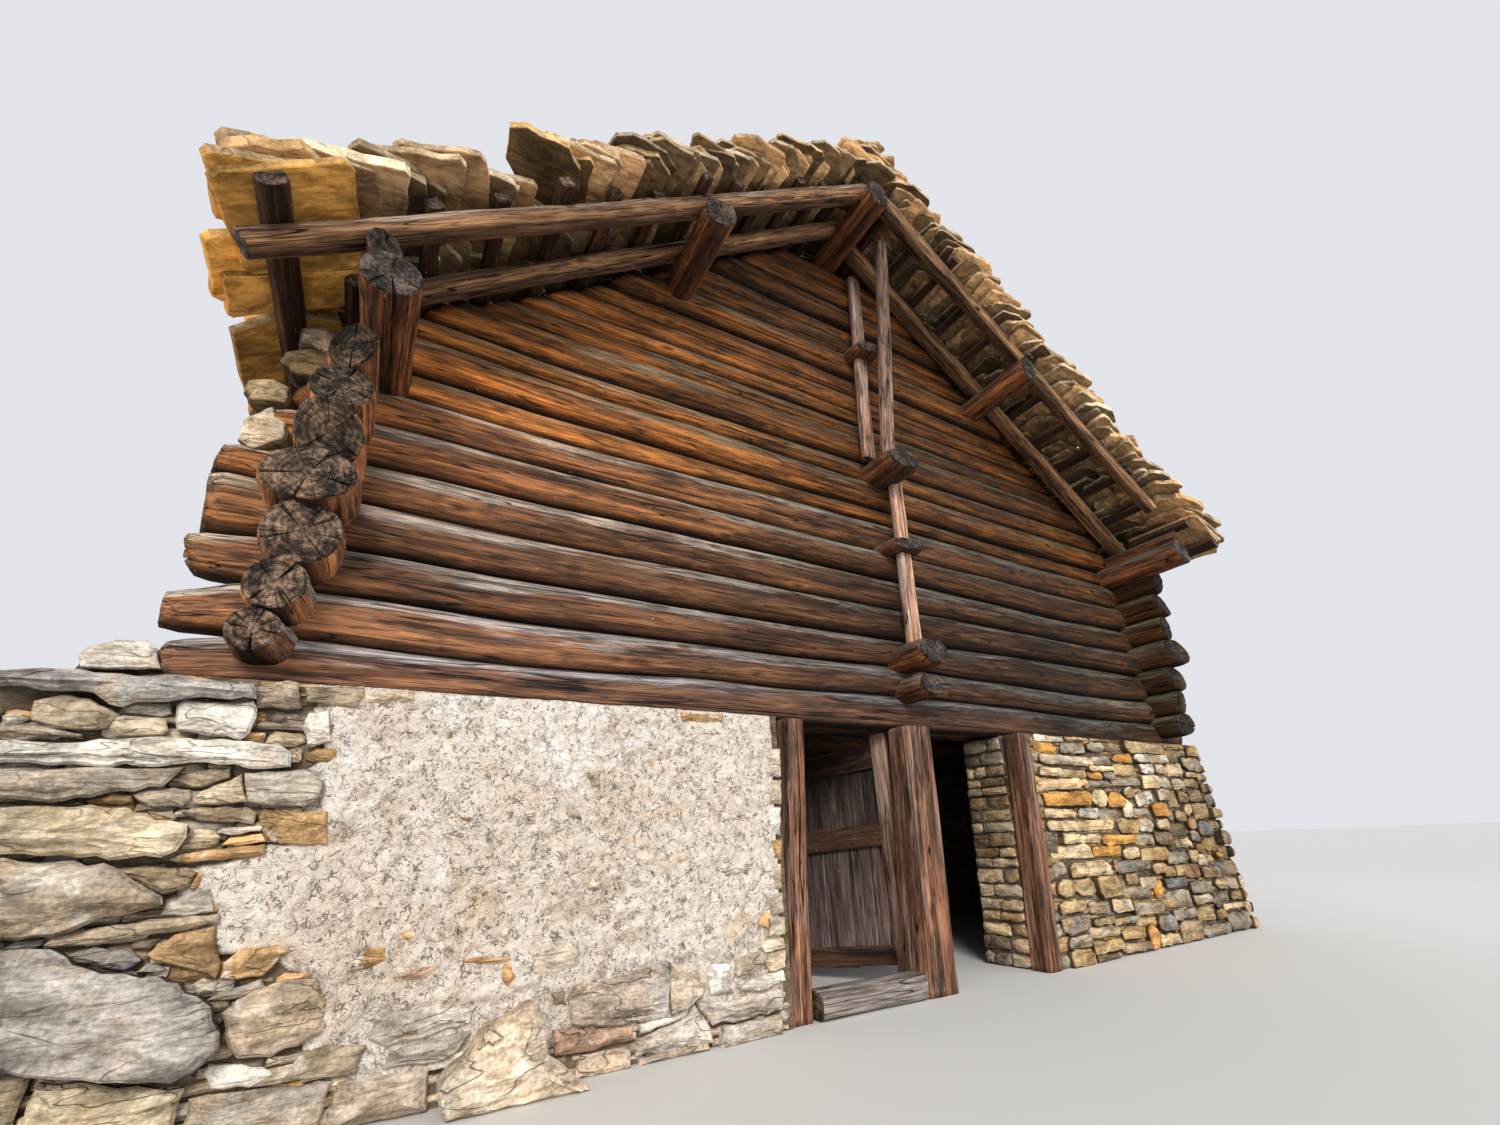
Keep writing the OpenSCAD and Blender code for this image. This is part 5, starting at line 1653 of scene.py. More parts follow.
def drystone():
    top = BASE_H - 0.004
    r = 0.42
    x0 = 1.24
    straight_len = OUT_R - r - x0
    arc = r * math.pi / 2

    def pier(u):
        if u < straight_len:
            return np.array([x0 + u, FRONT_Y, 0]), np.array([1.0, 0, 0]), np.array([0, -1.0, 0])
        a = min((u - straight_len) / r, math.pi / 2)
        c = np.array([OUT_R - r, FRONT_Y + r, 0])
        n = np.array([math.sin(a), -math.cos(a), 0])
        return c + n * r, np.array([math.cos(a), math.sin(a), 0]), n

    B = Build("right_front_stones", 71)
    rs = np.random.default_rng(71)
    for item in PIER.replace("\n", "|").split("|"):
        f = item.split()
        if len(f) != 5:
            continue
        xa, xb, za, zb = (float(v) for v in f[:4])
        zb = min(zb, top)
        P, T, N = pier((xa + xb) / 2 - x0)
        g = -0.002
        pr = rs.uniform(0.015, 0.065)
        poly = outline(rs, xb - xa - g, zb - za - g, skew=0.15, cut=0.7, big=0.4)
        lump(B, poly, 0.17, on_face(P + N * pr + np.array([0, 0, (za + zb) / 2]), T, N, rs.uniform(-0.08, 0.08)), rs, cham=0.013, bulge=0.009, amp=0.009, step=0.06, jit=0.006, fine=2 if (xb - xa) * (zb - za) > 0.042 else 1, rnd=tone_of(f[4], rs), freq=10, ledge=0.004, zmin=0.0)
    # the rest of the front and the round corner
    lay_rubble(B, pier, rubble(straight_len + arc + 0.02, top, rs, (0.16, 0.42), (0.085, 0.15), start=0.9), rs, "GTGTPGCDBTO", depth=0.17, step=0.07, amp=0.009, trim=lambda z: float(np.interp(z, PIER_END_Z, PIER_END_X)) - x0 + 0.012)
    lay_rubble(B, pier, rubble(straight_len + 0.1, top, rs, (0.08, 0.2), (0.03, 0.06), start=0.25), rs, "DGTDO", proud=(-0.02, 0.012), depth=0.08, step=0.1, gap=0.006, fine=0, amp=0.006, trim=None, cham=0.01)
    # what closes on the leaning post
    z = 0.0
    while z < top - 0.02:
        h = rs.uniform(0.07, 0.12)
        if top - (z + h) < 0.05:
            h = top - z
        zc = z + h / 2
        xp = 1.2 + zc * math.tan(math.radians(8)) + 0.09
        lump(B, outline(rs, 0.17, h - 0.008, cut=0.6), 0.15, on_face((xp + 0.075, FRONT_Y - 0.012, zc), (1, 0, 0), (0, -1, 0), rs.uniform(-0.1, 0.1)), rs, cham=0.012, bulge=0.008, amp=0.008, step=0.07, rnd=tone_pick(rs, "DGTD"), zmin=0.0)
        # the jamb's own face, seen past the post
        xe = 1.14 + 0.19 * zc / BASE_H
        y = 0.055
        while y < FRONT_IN - 0.03:
            w = rs.uniform(0.14, 0.32)
            if FRONT_IN - (y + w) < 0.1:
                w = FRONT_IN - y
            lump(B, outline(rs, w - 0.01, h - 0.01, cut=0.5), 0.12, on_face((xe - rs.uniform(0.01, 0.04), y + w / 2, zc), (0, -1, 0), (-1, 0, 0), rs.uniform(-0.06, 0.06)), rs, cham=0.012, bulge=0.008, amp=0.008, step=0.08, rnd=tone_pick(rs, "TGPCD"), zmin=0.0)
            y += w
        z += h
    B.make(MAT_PIER_SHADED, smooth_faces=False)
    for name, seed, path, ln in (
        ("right_side_stones", 72, straight((OUT_R, FRONT_Y + r - 0.03, 0), (0, 1, 0), (1, 0, 0)), BACK_OUT - FRONT_Y - r + 0.06),
        ("back_stones", 73, straight((OUT_R + 0.03, BACK_OUT, 0), (-1, 0, 0), (0, 1, 0)), OUT_R + OUT_L + 0.06),
        ("left_side_stones", 74, straight((-OUT_L, BACK_OUT + 0.03, 0), (0, -1, 0), (-1, 0, 0)), BACK_OUT - FRONT_IN + 0.03),
    ):
        B = Build(name, seed)
        rs = np.random.default_rng(seed)
        lay_rubble(B, path, rubble(ln, top, rs, (0.19, 0.52), (0.09, 0.165)), rs, "GTPGCDBWTOGTY", step=0.185 if name[0] != "b" else 0.23, fine=1, amp=0.011)
        B.make(MAT_PIER_SHADED if name[0] == "r" else MAT_WALL, smooth_faces=False)
    # flat stones that cap the ledge outside the side logs
    B = Build("ledge_stones", 75)
    rs = np.random.default_rng(75)
    for s, out in ((1, OUT_R), (-1, OUT_L)):
        y = 0.44
        inner = AX + 0.1
        while y < BACK_Y - 0.42:
            w = rs.uniform(0.3, 0.62)
            two = s > 0 and rs.random() < 0.45
            cut = inner + (out - inner) * rs.uniform(0.4, 0.6)
            for xa, xb in ((inner, cut), (cut, out)) if two else ((inner, out),):
                h = rs.uniform(0.05, 0.075)
                lump(B, outline(rs, xb - xa - 0.006, w - 0.012, skew=0.1, cut=0.7, big=0.3), h, laid_flat((s * (xa + xb) / 2, y + w / 2, top + rs.uniform(0.022, 0.045)), rs.uniform(-0.04, 0.04), rs.uniform(-0.025, 0.025), rs.uniform(-0.02, 0.02)), rs, cham=0.014, bulge=0.01, amp=0.009, step=0.12, jit=0.012, fine=1, rnd=tone_pick(rs, "GTGDTGBC"))
            y += w
    B.make(MAT_WALL, smooth_faces=False)


# blocks left of the plaster: tone, how proud, outline x z ...
LEFT_BLOCKS = """
W .10 -4.73 1.82 -4.72 1.85 -4.67 1.88 -4.64 1.9 -4.54 1.91 -4.5 1.88 -4.46 1.79 -4.53 1.78 -4.63 1.77 -4.71 1.77
B .14 -4.96 1.69 -4.93 1.73 -4.7 1.76 -4.57 1.75 -4.43 1.76 -4.28 1.75 -4.12 1.75 -4.09 1.68 -4.23 1.67 -4.34 1.66 -4.45 1.64 -4.53 1.61 -4.6 1.64 -4.68 1.67 -4.9 1.67
T .06 -4.12 1.74 -4.01 1.785 -3.96 1.78 -3.92 1.66 -3.98 1.65 -4.09 1.65
T .06 -3.93 1.76 -3.69 1.785 -3.68 1.73 -3.7 1.68 -3.83 1.68 -3.91 1.69
C .05 -3.68 1.76 -3.46 1.785 -3.45 1.73 -3.59 1.7 -3.67 1.7
W .08 -4.36 1.58 -4.37 1.64 -4.35 1.67 -4.11 1.68 -4.08 1.61 -4.09 1.53 -4.12 1.5 -4.26 1.52 -4.34 1.53
G .05 -4.55 1.62 -4.52 1.65 -4.4 1.65 -4.38 1.61 -4.41 1.59 -4.53 1.6
C .06 -4.56 1.53 -4.56 1.58 -4.53 1.59 -4.39 1.58 -4.37 1.53 -4.39 1.51 -4.53 1.5
T .07 -4.8 1.56 -4.81 1.63 -4.74 1.66 -4.65 1.65 -4.54 1.59 -4.56 1.53 -4.63 1.52 -4.71 1.53 -4.79 1.55
W .04 -4.89 1.57 -4.85 1.59 -4.81 1.56 -4.83 1.54 -4.87 1.52
G .04 -5.05 1.51 -4.8 1.54 -4.72 1.53 -4.64 1.51 -4.64 1.49 -4.76 1.49 -4.82 1.47 -5.03 1.48
W .10 -5.15 1.39 -5.14 1.46 -4.75 1.47 -4.61 1.47 -4.47 1.49 -4.41 1.5 -4.29 1.5 -4.12 1.49 -3.96 1.48 -3.91 1.45 -3.9 1.39 -3.99 1.38 -4.16 1.39 -4.3 1.39 -4.41 1.38 -4.55 1.38 -4.68 1.38
G .11 -5.3 1.28 -5.28 1.37 -4.63 1.37 -4.45 1.37 -4.38 1.37 -4.27 1.38 -4.29 1.34 -4.32 1.3 -4.4 1.28 -4.49 1.27 -4.56 1.26 -4.63 1.24 -4.71 1.25 -5.2 1.25
T .05 -4.31 1.33 -4.27 1.36 -4.22 1.37 -4.17 1.38 -4.12 1.38 -4.11 1.34 -4.16 1.32 -4.2 1.3 -4.23 1.3
W .06 -4.41 1.27 -4.37 1.29 -4.29 1.3 -4.23 1.29 -4.22 1.26 -4.24 1.22 -4.33 1.22 -4.39 1.25
O .05 -4.55 1.25 -4.47 1.28 -4.41 1.27 -4.4 1.24 -4.44 1.23 -4.53 1.24
D .03 -4.62 1.24 -4.56 1.25 -4.54 1.23 -4.61 1.23
C .06 -4.21 1.23 -4.2 1.28 -4.15 1.31 -4.11 1.33 -4.07 1.36 -4.02 1.24 -4.12 1.23
G .08 -4.06 1.36 -3.83 1.38 -3.76 1.33 -3.77 1.24 -3.81 1.22 -3.98 1.23 -4.02 1.24
P .05 -4.24 1.2 -4.21 1.22 -4.02 1.22 -3.98 1.19 -3.98 1.15 -4.07 1.16 -4.17 1.17
P .03 -4.35 1.21 -4.27 1.21 -4.25 1.18 -4.26 1.17 -4.33 1.19
O .06 -3.97 1.18 -3.96 1.21 -3.72 1.2 -3.69 1.06 -3.8 1.06 -3.9 1.08 -3.94 1.12
Y .13 -5.05 1.2 -4.74 1.22 -4.63 1.23 -4.51 1.23 -4.4 1.22 -4.33 1.2 -4.3 1.17 -4.19 1.15 -4.18 1.1 -4.2 1.05 -4.24 1.03 -4.39 1.03 -4.48 1.04 -4.59 1.05 -4.69 1.06 -5.04 1.06
C .05 -4.2 1.06 -4.19 1.15 -4.11 1.13 -4.08 1.1 -4.09 1.07 -4.14 1.06
W .05 -4.1 1.12 -4.08 1.14 -3.94 1.14 -3.95 1.12 -4.05 1.11
O .05 -4.07 1.07 -4.05 1.1 -3.94 1.11 -3.92 1.08 -3.98 1.07
O .06 -4.23 1.02 -4.19 1.04 -4.02 1.06 -3.92 1.07 -3.91 1.03 -4.01 1.02 -4.16 1.0
G .12 -5.2 1.03 -4.69 1.05 -4.54 1.03 -4.41 1.02 -4.35 0.99 -4.3 0.95 -4.25 0.92 -4.2 0.89 -4.19 0.86 -4.25 0.84 -4.35 0.83 -4.43 0.79 -4.52 0.78 -4.6 0.78 -5.18 0.78
T .06 -4.4 0.99 -4.29 1.0 -4.16 0.99 -4.12 0.97 -4.14 0.92 -4.21 0.89 -4.27 0.93 -4.33 0.96
G .05 -4.2 0.82 -4.19 0.86 -4.14 0.89 -4.06 0.91 -4.03 0.82 -4.12 0.81
O .04 -4.13 0.91 -4.12 0.97 -4.1 0.96 -4.11 0.91
T .07 -4.5 0.75 -4.48 0.78 -4.33 0.8 -4.15 0.81 -4.01 0.81 -4.0 0.78 -4.1 0.76 -4.23 0.75 -4.33 0.74 -4.47 0.74
G .04 -4.61 0.75 -4.58 0.77 -4.51 0.77 -4.51 0.75 -4.57 0.74
D .03 -4.26 0.72 -4.25 0.74 -4.17 0.74 -4.2 0.7 -4.25 0.71
O .06 -4.2 0.69 -4.13 0.75 -4.01 0.77 -3.99 0.7 -3.96 0.64 -3.96 0.58 -4.02 0.61 -4.1 0.64 -4.18 0.67
O .05 -3.95 0.58 -3.95 0.63 -3.9 0.68 -3.78 0.68 -3.74 0.65 -3.78 0.6 -3.81 0.57 -3.89 0.57
B .05 -4.44 0.71 -4.36 0.73 -4.24 0.7 -4.21 0.67 -4.25 0.64 -4.32 0.66 -4.39 0.68
B .04 -4.22 0.63 -4.19 0.66 -4.13 0.63 -4.15 0.61
W .05 -4.03 0.57 -4.0 0.59 -3.95 0.57 -3.95 0.53 -4.0 0.53
G .05 -3.97 0.51 -3.94 0.53 -3.81 0.56 -3.79 0.53 -3.9 0.5
B .15 -5.1 0.75 -4.58 0.75 -4.46 0.74 -4.41 0.71 -4.35 0.67 -4.23 0.64 -4.13 0.62 -4.06 0.59 -3.99 0.54 -3.94 0.5 -3.89 0.41 -3.88 0.36 -3.94 0.3 -4.0 0.28 -4.1 0.29 -4.25 0.33 -4.34 0.35 -4.46 0.39 -5.08 0.4
P .07 -3.91 0.46 -3.87 0.5 -3.77 0.54 -3.62 0.54 -3.56 0.45 -3.55 0.35 -3.63 0.31 -3.71 0.29 -3.82 0.3 -3.88 0.38
W .05 -3.92 0.27 -3.91 0.3 -3.8 0.28 -3.73 0.26 -3.69 0.23 -3.76 0.2 -3.88 0.22
G .07 -5.5 0.4 -5.14 0.4 -5.12 0.76 -5.5 0.76
Y .06 -5.5 0.79 -5.23 0.79 -5.22 1.03 -5.5 1.03
T .06 -5.5 1.05 -5.08 1.05 -5.08 1.22 -5.5 1.22
P .05 -5.5 1.25 -5.33 1.25 -5.32 1.38 -5.5 1.38
B .07 -5.5 1.4 -5.18 1.4 -5.17 1.49 -5.5 1.49
G .05 -5.5 1.51 -5.2 1.51 -5.2 1.58 -5.5 1.58
T .04 -5.18 1.52 -4.9 1.55 -4.9 1.6 -5.17 1.58
G .08 -5.5 0.0 -4.95 0.0 -4.92 0.38 -5.5 0.38
T .07 -4.93 0.0 -4.42 0.0 -4.4 0.36 -4.9 0.37
Y .08 -4.4 0.0 -3.97 0.0 -3.96 0.24 -4.1 0.27 -4.38 0.33
G .06 -3.95 0.0 -3.5 0.0 -3.48 0.17 -3.7 0.19 -3.94 0.2
T .05 -3.66 0.2 -3.4 0.18 -3.38 0.27 -3.52 0.3 -3.62 0.28
P .05 -3.48 0.0 -3.1 0.0 -3.12 0.15 -3.46 0.16
"""
# blocks along the foot of the plaster and where it has come off
FOOT_BLOCKS = """
C .24 -3.1 0.1 -3.04 0.17 -2.98 0.21 -2.93 0.29 -2.8 0.33 -2.72 0.36 -2.68 0.3 -2.66 0.16 -2.57 0.1 -2.47 0.03 -2.45 0.0 -3.05 0.0
G .05 -3.38 0.29 -3.37 0.37 -3.35 0.39 -3.14 0.38 -2.95 0.36 -2.97 0.29 -3.12 0.27 -3.3 0.25
G .05 -3.29 0.23 -3.15 0.26 -2.97 0.26 -3.01 0.2 -3.08 0.17 -3.22 0.18 -3.3 0.18
P .05 -3.65 0.47 -3.6 0.51 -3.57 0.41 -3.61 0.37
D .04 -2.62 0.36 -2.56 0.37 -2.54 0.3 -2.6 0.31
T .05 -2.54 0.32 -2.51 0.38 -2.38 0.37 -2.46 0.32
B .07 -2.53 0.32 -2.45 0.37 -2.29 0.39 -2.12 0.41 -2.01 0.43 -1.99 0.32 -2.01 0.18 -2.15 0.17 -2.41 0.2 -2.51 0.22
T .07 -2.0 0.42 -1.9 0.4 -1.8 0.32 -1.8 0.26 -1.9 0.2 -1.99 0.19
W .05 -1.77 0.33 -1.75 0.38 -1.63 0.37 -1.6 0.23 -1.75 0.24
G .05 -1.6 0.32 -1.57 0.39 -1.44 0.41 -1.4 0.35 -1.49 0.31 -1.58 0.3
W .06 -1.58 0.26 -1.47 0.29 -1.28 0.3 -1.27 0.25 -1.46 0.22 -1.56 0.24
C .05 -1.42 0.43 -1.4 0.46 -1.26 0.46 -1.25 0.41 -1.39 0.4
C .05 -1.4 0.35 -1.36 0.39 -1.25 0.4 -1.26 0.31 -1.36 0.3
O .05 -1.43 0.54 -1.41 0.6 -1.35 0.6 -1.36 0.52
G .06 -1.84 0.22 -1.58 0.2 -1.28 0.22 -1.29 0.11 -1.55 0.1 -1.74 0.1
W .05 -2.17 0.17 -2.02 0.18 -1.92 0.17 -2.1 0.13 -2.15 0.13
R .05 -2.58 0.11 -2.6 0.21 -2.51 0.2 -2.19 0.17 -2.19 0.11 -2.43 0.1
G .06 -2.18 0.11 -2.09 0.12 -1.93 0.15 -1.85 0.21 -1.76 0.1 -1.74 0.03 -1.93 0.01 -2.17 0.04
O .05 -3.49 0.59 -3.44 0.63 -3.38 0.63 -3.36 0.58 -3.44 0.55 -3.5 0.55
R .05 -3.33 0.51 -3.21 0.54 -3.15 0.53 -3.19 0.49 -3.27 0.49
O .05 -3.33 0.68 -3.28 0.7 -3.26 0.67 -3.28 0.64 -3.32 0.66
O .05 -3.05 0.54 -2.98 0.55 -2.83 0.53 -2.85 0.52 -2.98 0.52
O .05 -2.87 0.5 -2.83 0.51 -2.79 0.45 -2.83 0.41 -2.87 0.45
P .05 -2.73 0.52 -2.65 0.55 -2.55 0.57 -2.49 0.52 -2.52 0.46 -2.61 0.43 -2.71 0.45
T .05 -2.52 1.39 -2.44 1.4 -2.44 1.32 -2.49 1.3
O .05 -1.95 1.76 -1.64 1.77 -1.64 1.72 -1.93 1.71
T .05 -2.62 1.2 -2.55 1.19 -2.53 1.14 -2.61 1.15
T .05 -2.85 1.19 -2.78 1.19 -2.78 1.13 -2.83 1.13
O .05 -3.16 1.17 -3.09 1.16 -3.11 1.14 -3.14 1.15
T .05 -2.47 0.83 -2.4 0.83 -2.41 0.8 -2.47 0.8
G .05 -1.68 0.84 -1.48 0.88 -1.49 0.81 -1.64 0.81
W .05 -3.89 1.64 -3.81 1.66 -3.77 1.51 -3.86 1.48 -3.9 1.57
C .06 -1.36 0.48 -1.25 0.48 -1.25 0.57 -1.35 0.57
G .055 -1.33 0.59 -1.25 0.59 -1.25 0.7 -1.34 0.7
T .05 -1.32 0.72 -1.25 0.72 -1.25 0.86 -1.33 0.86
O .05 -1.31 0.88 -1.24 0.88 -1.23 1.0 -1.31 1.0
W .045 -1.33 1.02 -1.24 1.02 -1.22 1.19 -1.32 1.19
T .05 -1.31 1.21 -1.22 1.21 -1.21 1.36 -1.3 1.36
G .05 -1.3 1.38 -1.21 1.38 -1.2 1.56 -1.3 1.56
G .06 -1.7 0.0 -1.3 0.0 -1.3 0.09 -1.68 0.09
T .05 -2.16 0.0 -1.76 0.0 -1.78 0.05 -2.15 0.03
P .05 -2.48 0.0 -2.2 0.0 -2.2 0.09 -2.45 0.09
"""


def lay_blocks(B, table, rs, big_amp=0.013):
    for row in table.strip().split("\n"):
        f = row.split()
        pr = float(f[1])
        pts = np.array([float(v) for v in f[2:]]).reshape(-1, 2)
        area = 0.5 * np.sum(pts[:, 0] * np.roll(pts[:, 1], -1) - np.roll(pts[:, 0], -1) * pts[:, 1])
        if area < 0:
            pts = pts[::-1]
        c = (pts.max(0) + pts.min(0)) / 2
        size = math.sqrt(abs(area))
        large = size > 0.2
        lump(
            B,
            pts - c,
            0.2 + (0.1 if pr > 0.2 else 0.0),
            on_face((c[0], FRONT_Y - pr, c[1]), (1, 0, 0), (0, -1, 0), rs.uniform(-0.03, 0.03)),
            rs,
            cham=0.03 if large else 0.014,
            bulge=0.025 if large else 0.01,
            amp=big_amp if large else 0.008,
            step=0.065 if large else 0.045,
            jit=0.012 if large else 0.005,
            fine=2 if size > 0.09 else 1,
            freq=6.0 if large else 10.0,
            ledge=0.011 if large else 0.004,
            rnd=tone_of(f[0], rs),
            zmin=0.0,
        )


COAT_Z = [0.0, 0.14, 0.28, 0.55, 0.58, 0.65, 0.66, 0.7, 0.76, 0.84, 0.85, 0.98, 1.02, 1.06, 1.08, 1.21, 1.31, 1.38, 1.4, 1.47, 1.65, 1.79]
COAT_X = [-3.3, -3.3, -3.52, -3.59, -3.65, -3.74, -3.92, -4.0, -4.01, -3.99, -4.05, -4.1, -3.92, -3.9, -3.69, -3.73, -3.74, -3.78, -3.71, -3.68, -3.8, -3.8]


def coat_left(z):
    """Where the plaster begins on the left at height z."""
    return np.interp(z, COAT_Z, COAT_X)


def front_left_masonry():
    B = Build("left_front_blocks", 81)
    rs = np.random.default_rng(81)
    lay_blocks(B, LEFT_BLOCKS, rs)
    # small stuff wedged between and behind the blocks
    lay_rubble(B, straight((-5.5, FRONT_Y, 0), (1, 0, 0), (0, -1, 0)), [q for q in rubble(2.1, 1.6, rs, (0.09, 0.24), (0.035, 0.08)) if q[1] - 5.5 < coat_left((q[2] + q[3]) / 2) + 0.03], rs, "DGTOGC", proud=(0.0, 0.035), depth=0.1, gap=0.004, fine=0, amp=0.006, step=0.08, cham=0.01)
    lay_rubble(B, straight((-OUT_L, FRONT_Y, 1.58), (1, 0, 0), (0, -1, 0)), rubble(0.74, BASE_H - 1.585, rs, (0.08, 0.22), (0.03, 0.07)), rs, "DGTCO", proud=(0.0, 0.03), depth=0.1, gap=0.006, fine=0, amp=0.006, step=0.08, cham=0.01)
    # loose stones on top of the low wall
    for x, y, z, a, b, h, tone, turn in (
        (-4.6, 0.14, 1.77, 0.3, 0.26, 0.09, "W", -0.2),
        (-4.68, 0.2, 1.63, 0.46, 0.36, 0.06, "B", 0.1),
        (-4.62, 0.26, 1.64, 0.42, 0.34, 0.1, "G", 0.3),
        (-5.28, 0.05, 1.575, 0.36, 0.3, 0.06, "T", -0.3),
        (-5.3, 0.33, 1.575, 0.38, 0.34, 0.07, "G", 0.2),
        (-4.92, 0.38, 1.56, 0.42, 0.26, 0.05, "P", 0.5),
        (-4.66, 0.42, 1.74, 0.26, 0.24, 0.07, "T", 0.1),
    ):
        lump(B, outline(rs, a, b, skew=0.12, cut=0.8, big=0.4), h, laid_flat((x, y, z + h), turn, rs.uniform(-0.05, 0.05), rs.uniform(-0.05, 0.05)), rs, cham=0.016, bulge=0.012, amp=0.012, step=0.07, fine=1, both=True, rnd=tone_of(tone, rs))
    lay_rubble(B, straight((-5.5, FRONT_IN + 0.02, 0), (0, -1, 0), (-1, 0, 0)), rubble(0.62, 1.58, rs, (0.16, 0.4), (0.1, 0.22)), rs, "GTPYB", proud=(0.0, 0.035))
    lay_rubble(B, straight((-OUT_L + 0.04, FRONT_IN, 0), (-1, 0, 0), (0, 1, 0)), rubble(0.97, 1.58, rs, (0.2, 0.46), (0.1, 0.22)), rs, "GTPYB", proud=(0.01, 0.05))
    B.make(MAT_BIG, smooth_faces=False)
    B = Build("plaster_foot_blocks", 85)
    lay_blocks(B, FOOT_BLOCKS, rs)
    lay_rubble(B, straight((-3.6, FRONT_Y, 0), (1, 0, 0), (0, -1, 0)), rubble(2.38, 0.2, rs, (0.08, 0.2), (0.03, 0.07)), rs, "GTCPW", proud=(-0.005, 0.015), depth=0.1, gap=0.006, fine=0, amp=0.006, step=0.08, cham=0.01)
    # reveal of the left side of the door way
    lay_rubble(B, straight((-1.2, 0.14, 0), (0, 1, 0), (1, 0, 0)), rubble(FRONT_IN - 0.14, BASE_H - 0.005, rs, (0.13, 0.3), (0.08, 0.16)), rs, "TCGPOD", proud=(0.005, 0.03), depth=0.1)
    B.make(MAT_FOOT, smooth_faces=False)


def plaster():
    """A coat of lime thrown on by hand: thick in the middle, thin and torn at the edges where stones come through."""
    nx, nz = 240, 136
    xs = np.linspace(-4.22, -1.2, nx)
    zs = np.linspace(0.14, 1.785, nz)
    X, Z = np.meshgrid(xs, zs, indexing="ij")
    q = np.stack([X, Z, np.zeros_like(X)], -1)
    w = 0.05 * fbm(q * np.array([3.5, 3.5, 1]) + 3, 3, 91)
    w2 = 0.045 * fbm(q * np.array([8.0, 8.0, 1]) + 9, 3, 92)
    # left edge of the coat by height
    left = coat_left(Z)
    # foot of the coat by length
    xf = [-4.16, -3.9, -3.5, -3.38, -3.1, -2.7, -2.45, -2.2, -1.99, -1.9, -1.62, -1.44, -1.36, -1.2]
    zf = [0.5, 0.4, 0.28, 0.4, 0.36, 0.38, 0.4, 0.42, 0.44, 0.42, 0.4, 0.48, 0.6, 0.7]
    foot = np.interp(X, xf, zf)
    # where stones come through
    d = np.minimum(X - left + 0.03 + 0.5 * (w + w2), (Z - foot + w + w2))
    d = np.minimum(d, (-1.27 - X) + 0.3 * w2 + 0.03)
    d = np.minimum(d, (1.79 - Z) + 0.03 + w2 * 0.5)
    cover = smooth(d, -0.02, 0.045)
    low = np.minimum(np.minimum(X - left + 0.1 + 0.5 * (w + w2), (-1.25 - X) + 0.2 * w2), (1.795 - Z) + 0.4 * w2)
    inside = smooth(low, -0.02, 0.03)
    wq = q + 0.05 * np.stack([noise3(q * 5.0, 96), noise3(q * 5.0, 97), np.zeros_like(X)], -1)
    ridge = 1 - np.abs(noise3(wq * np.array([11.0, 13.0, 1]) + 4, 94)) * 2.4
    ridge2 = 1 - np.abs(noise3(wq * np.array([23.0, 26.0, 1]) + 4, 98)) * 2.4
    rel = 0.011 * fbm(q * np.array([2.6, 2.6, 1]), 3, 93) + 0.0065 * np.clip(ridge, -1, 1) + 0.0035 * np.clip(ridge2, -1, 1) + 0.003 * fbm(q * np.array([40.0, 40.0, 1]), 2, 95)
    line_ = np.abs(fbm(wq * np.array([4.0, 4.0, 1]) + 17, 2, 99))
    rel = rel - 0.005 * (1 - smooth(line_, 0.0, 0.03))
    th = -0.03 + inside * (0.046 + 0.4 * rel) + cover * (0.02 + 0.6 * rel)
    V = np.stack([X, FRONT_Y - th, Z], -1).reshape(-1, 3)
    idx = np.arange(nx * nz).reshape(nx, nz)
    F = np.stack([idx[:-1, :-1], idx[1:, :-1], idx[1:, 1:], idx[:-1, 1:]], -1).reshape(-1, 4)
    ring = np.concatenate([idx[:, 0], idx[-1, 1:], idx[-2::-1, -1], idx[0, -2:0:-1]])
    n = len(ring)
    back = V[ring].copy()
    back[:, 1] = FRONT_Y + 0.06
    i0 = nx * nz
    j = np.arange(n)
    jn = (j + 1) % n
    Fs = np.stack([ring, i0 + j, i0 + jn, ring[jn]], -1)
    mid_pt = back.mean(0)[None]
    T = np.stack([i0 + j, np.full(n, i0 + n), i0 + jn], -1)
    P = np.concatenate([V, back, mid_pt])
    cr = np.concatenate([np.stack([th.ravel(), cover.ravel(), (rel.ravel() / 0.012)], 1), np.zeros((n + 1, 3))])
    B = Build("plaster_piece", 90)
    B.add(P, np.concatenate([F, Fs]), T, lp=P, cr=cr, rnd=(0.5, 0.5, 0.5))
    B.make(MAT_PLASTER, replaces=["plaster_coat"])


# ------------------------------------------------------------------
# door way, clamps, floor
# ------------------------------------------------------------------
def lean(x, z, deg):
    return x + z * math.tan(math.radians(deg))


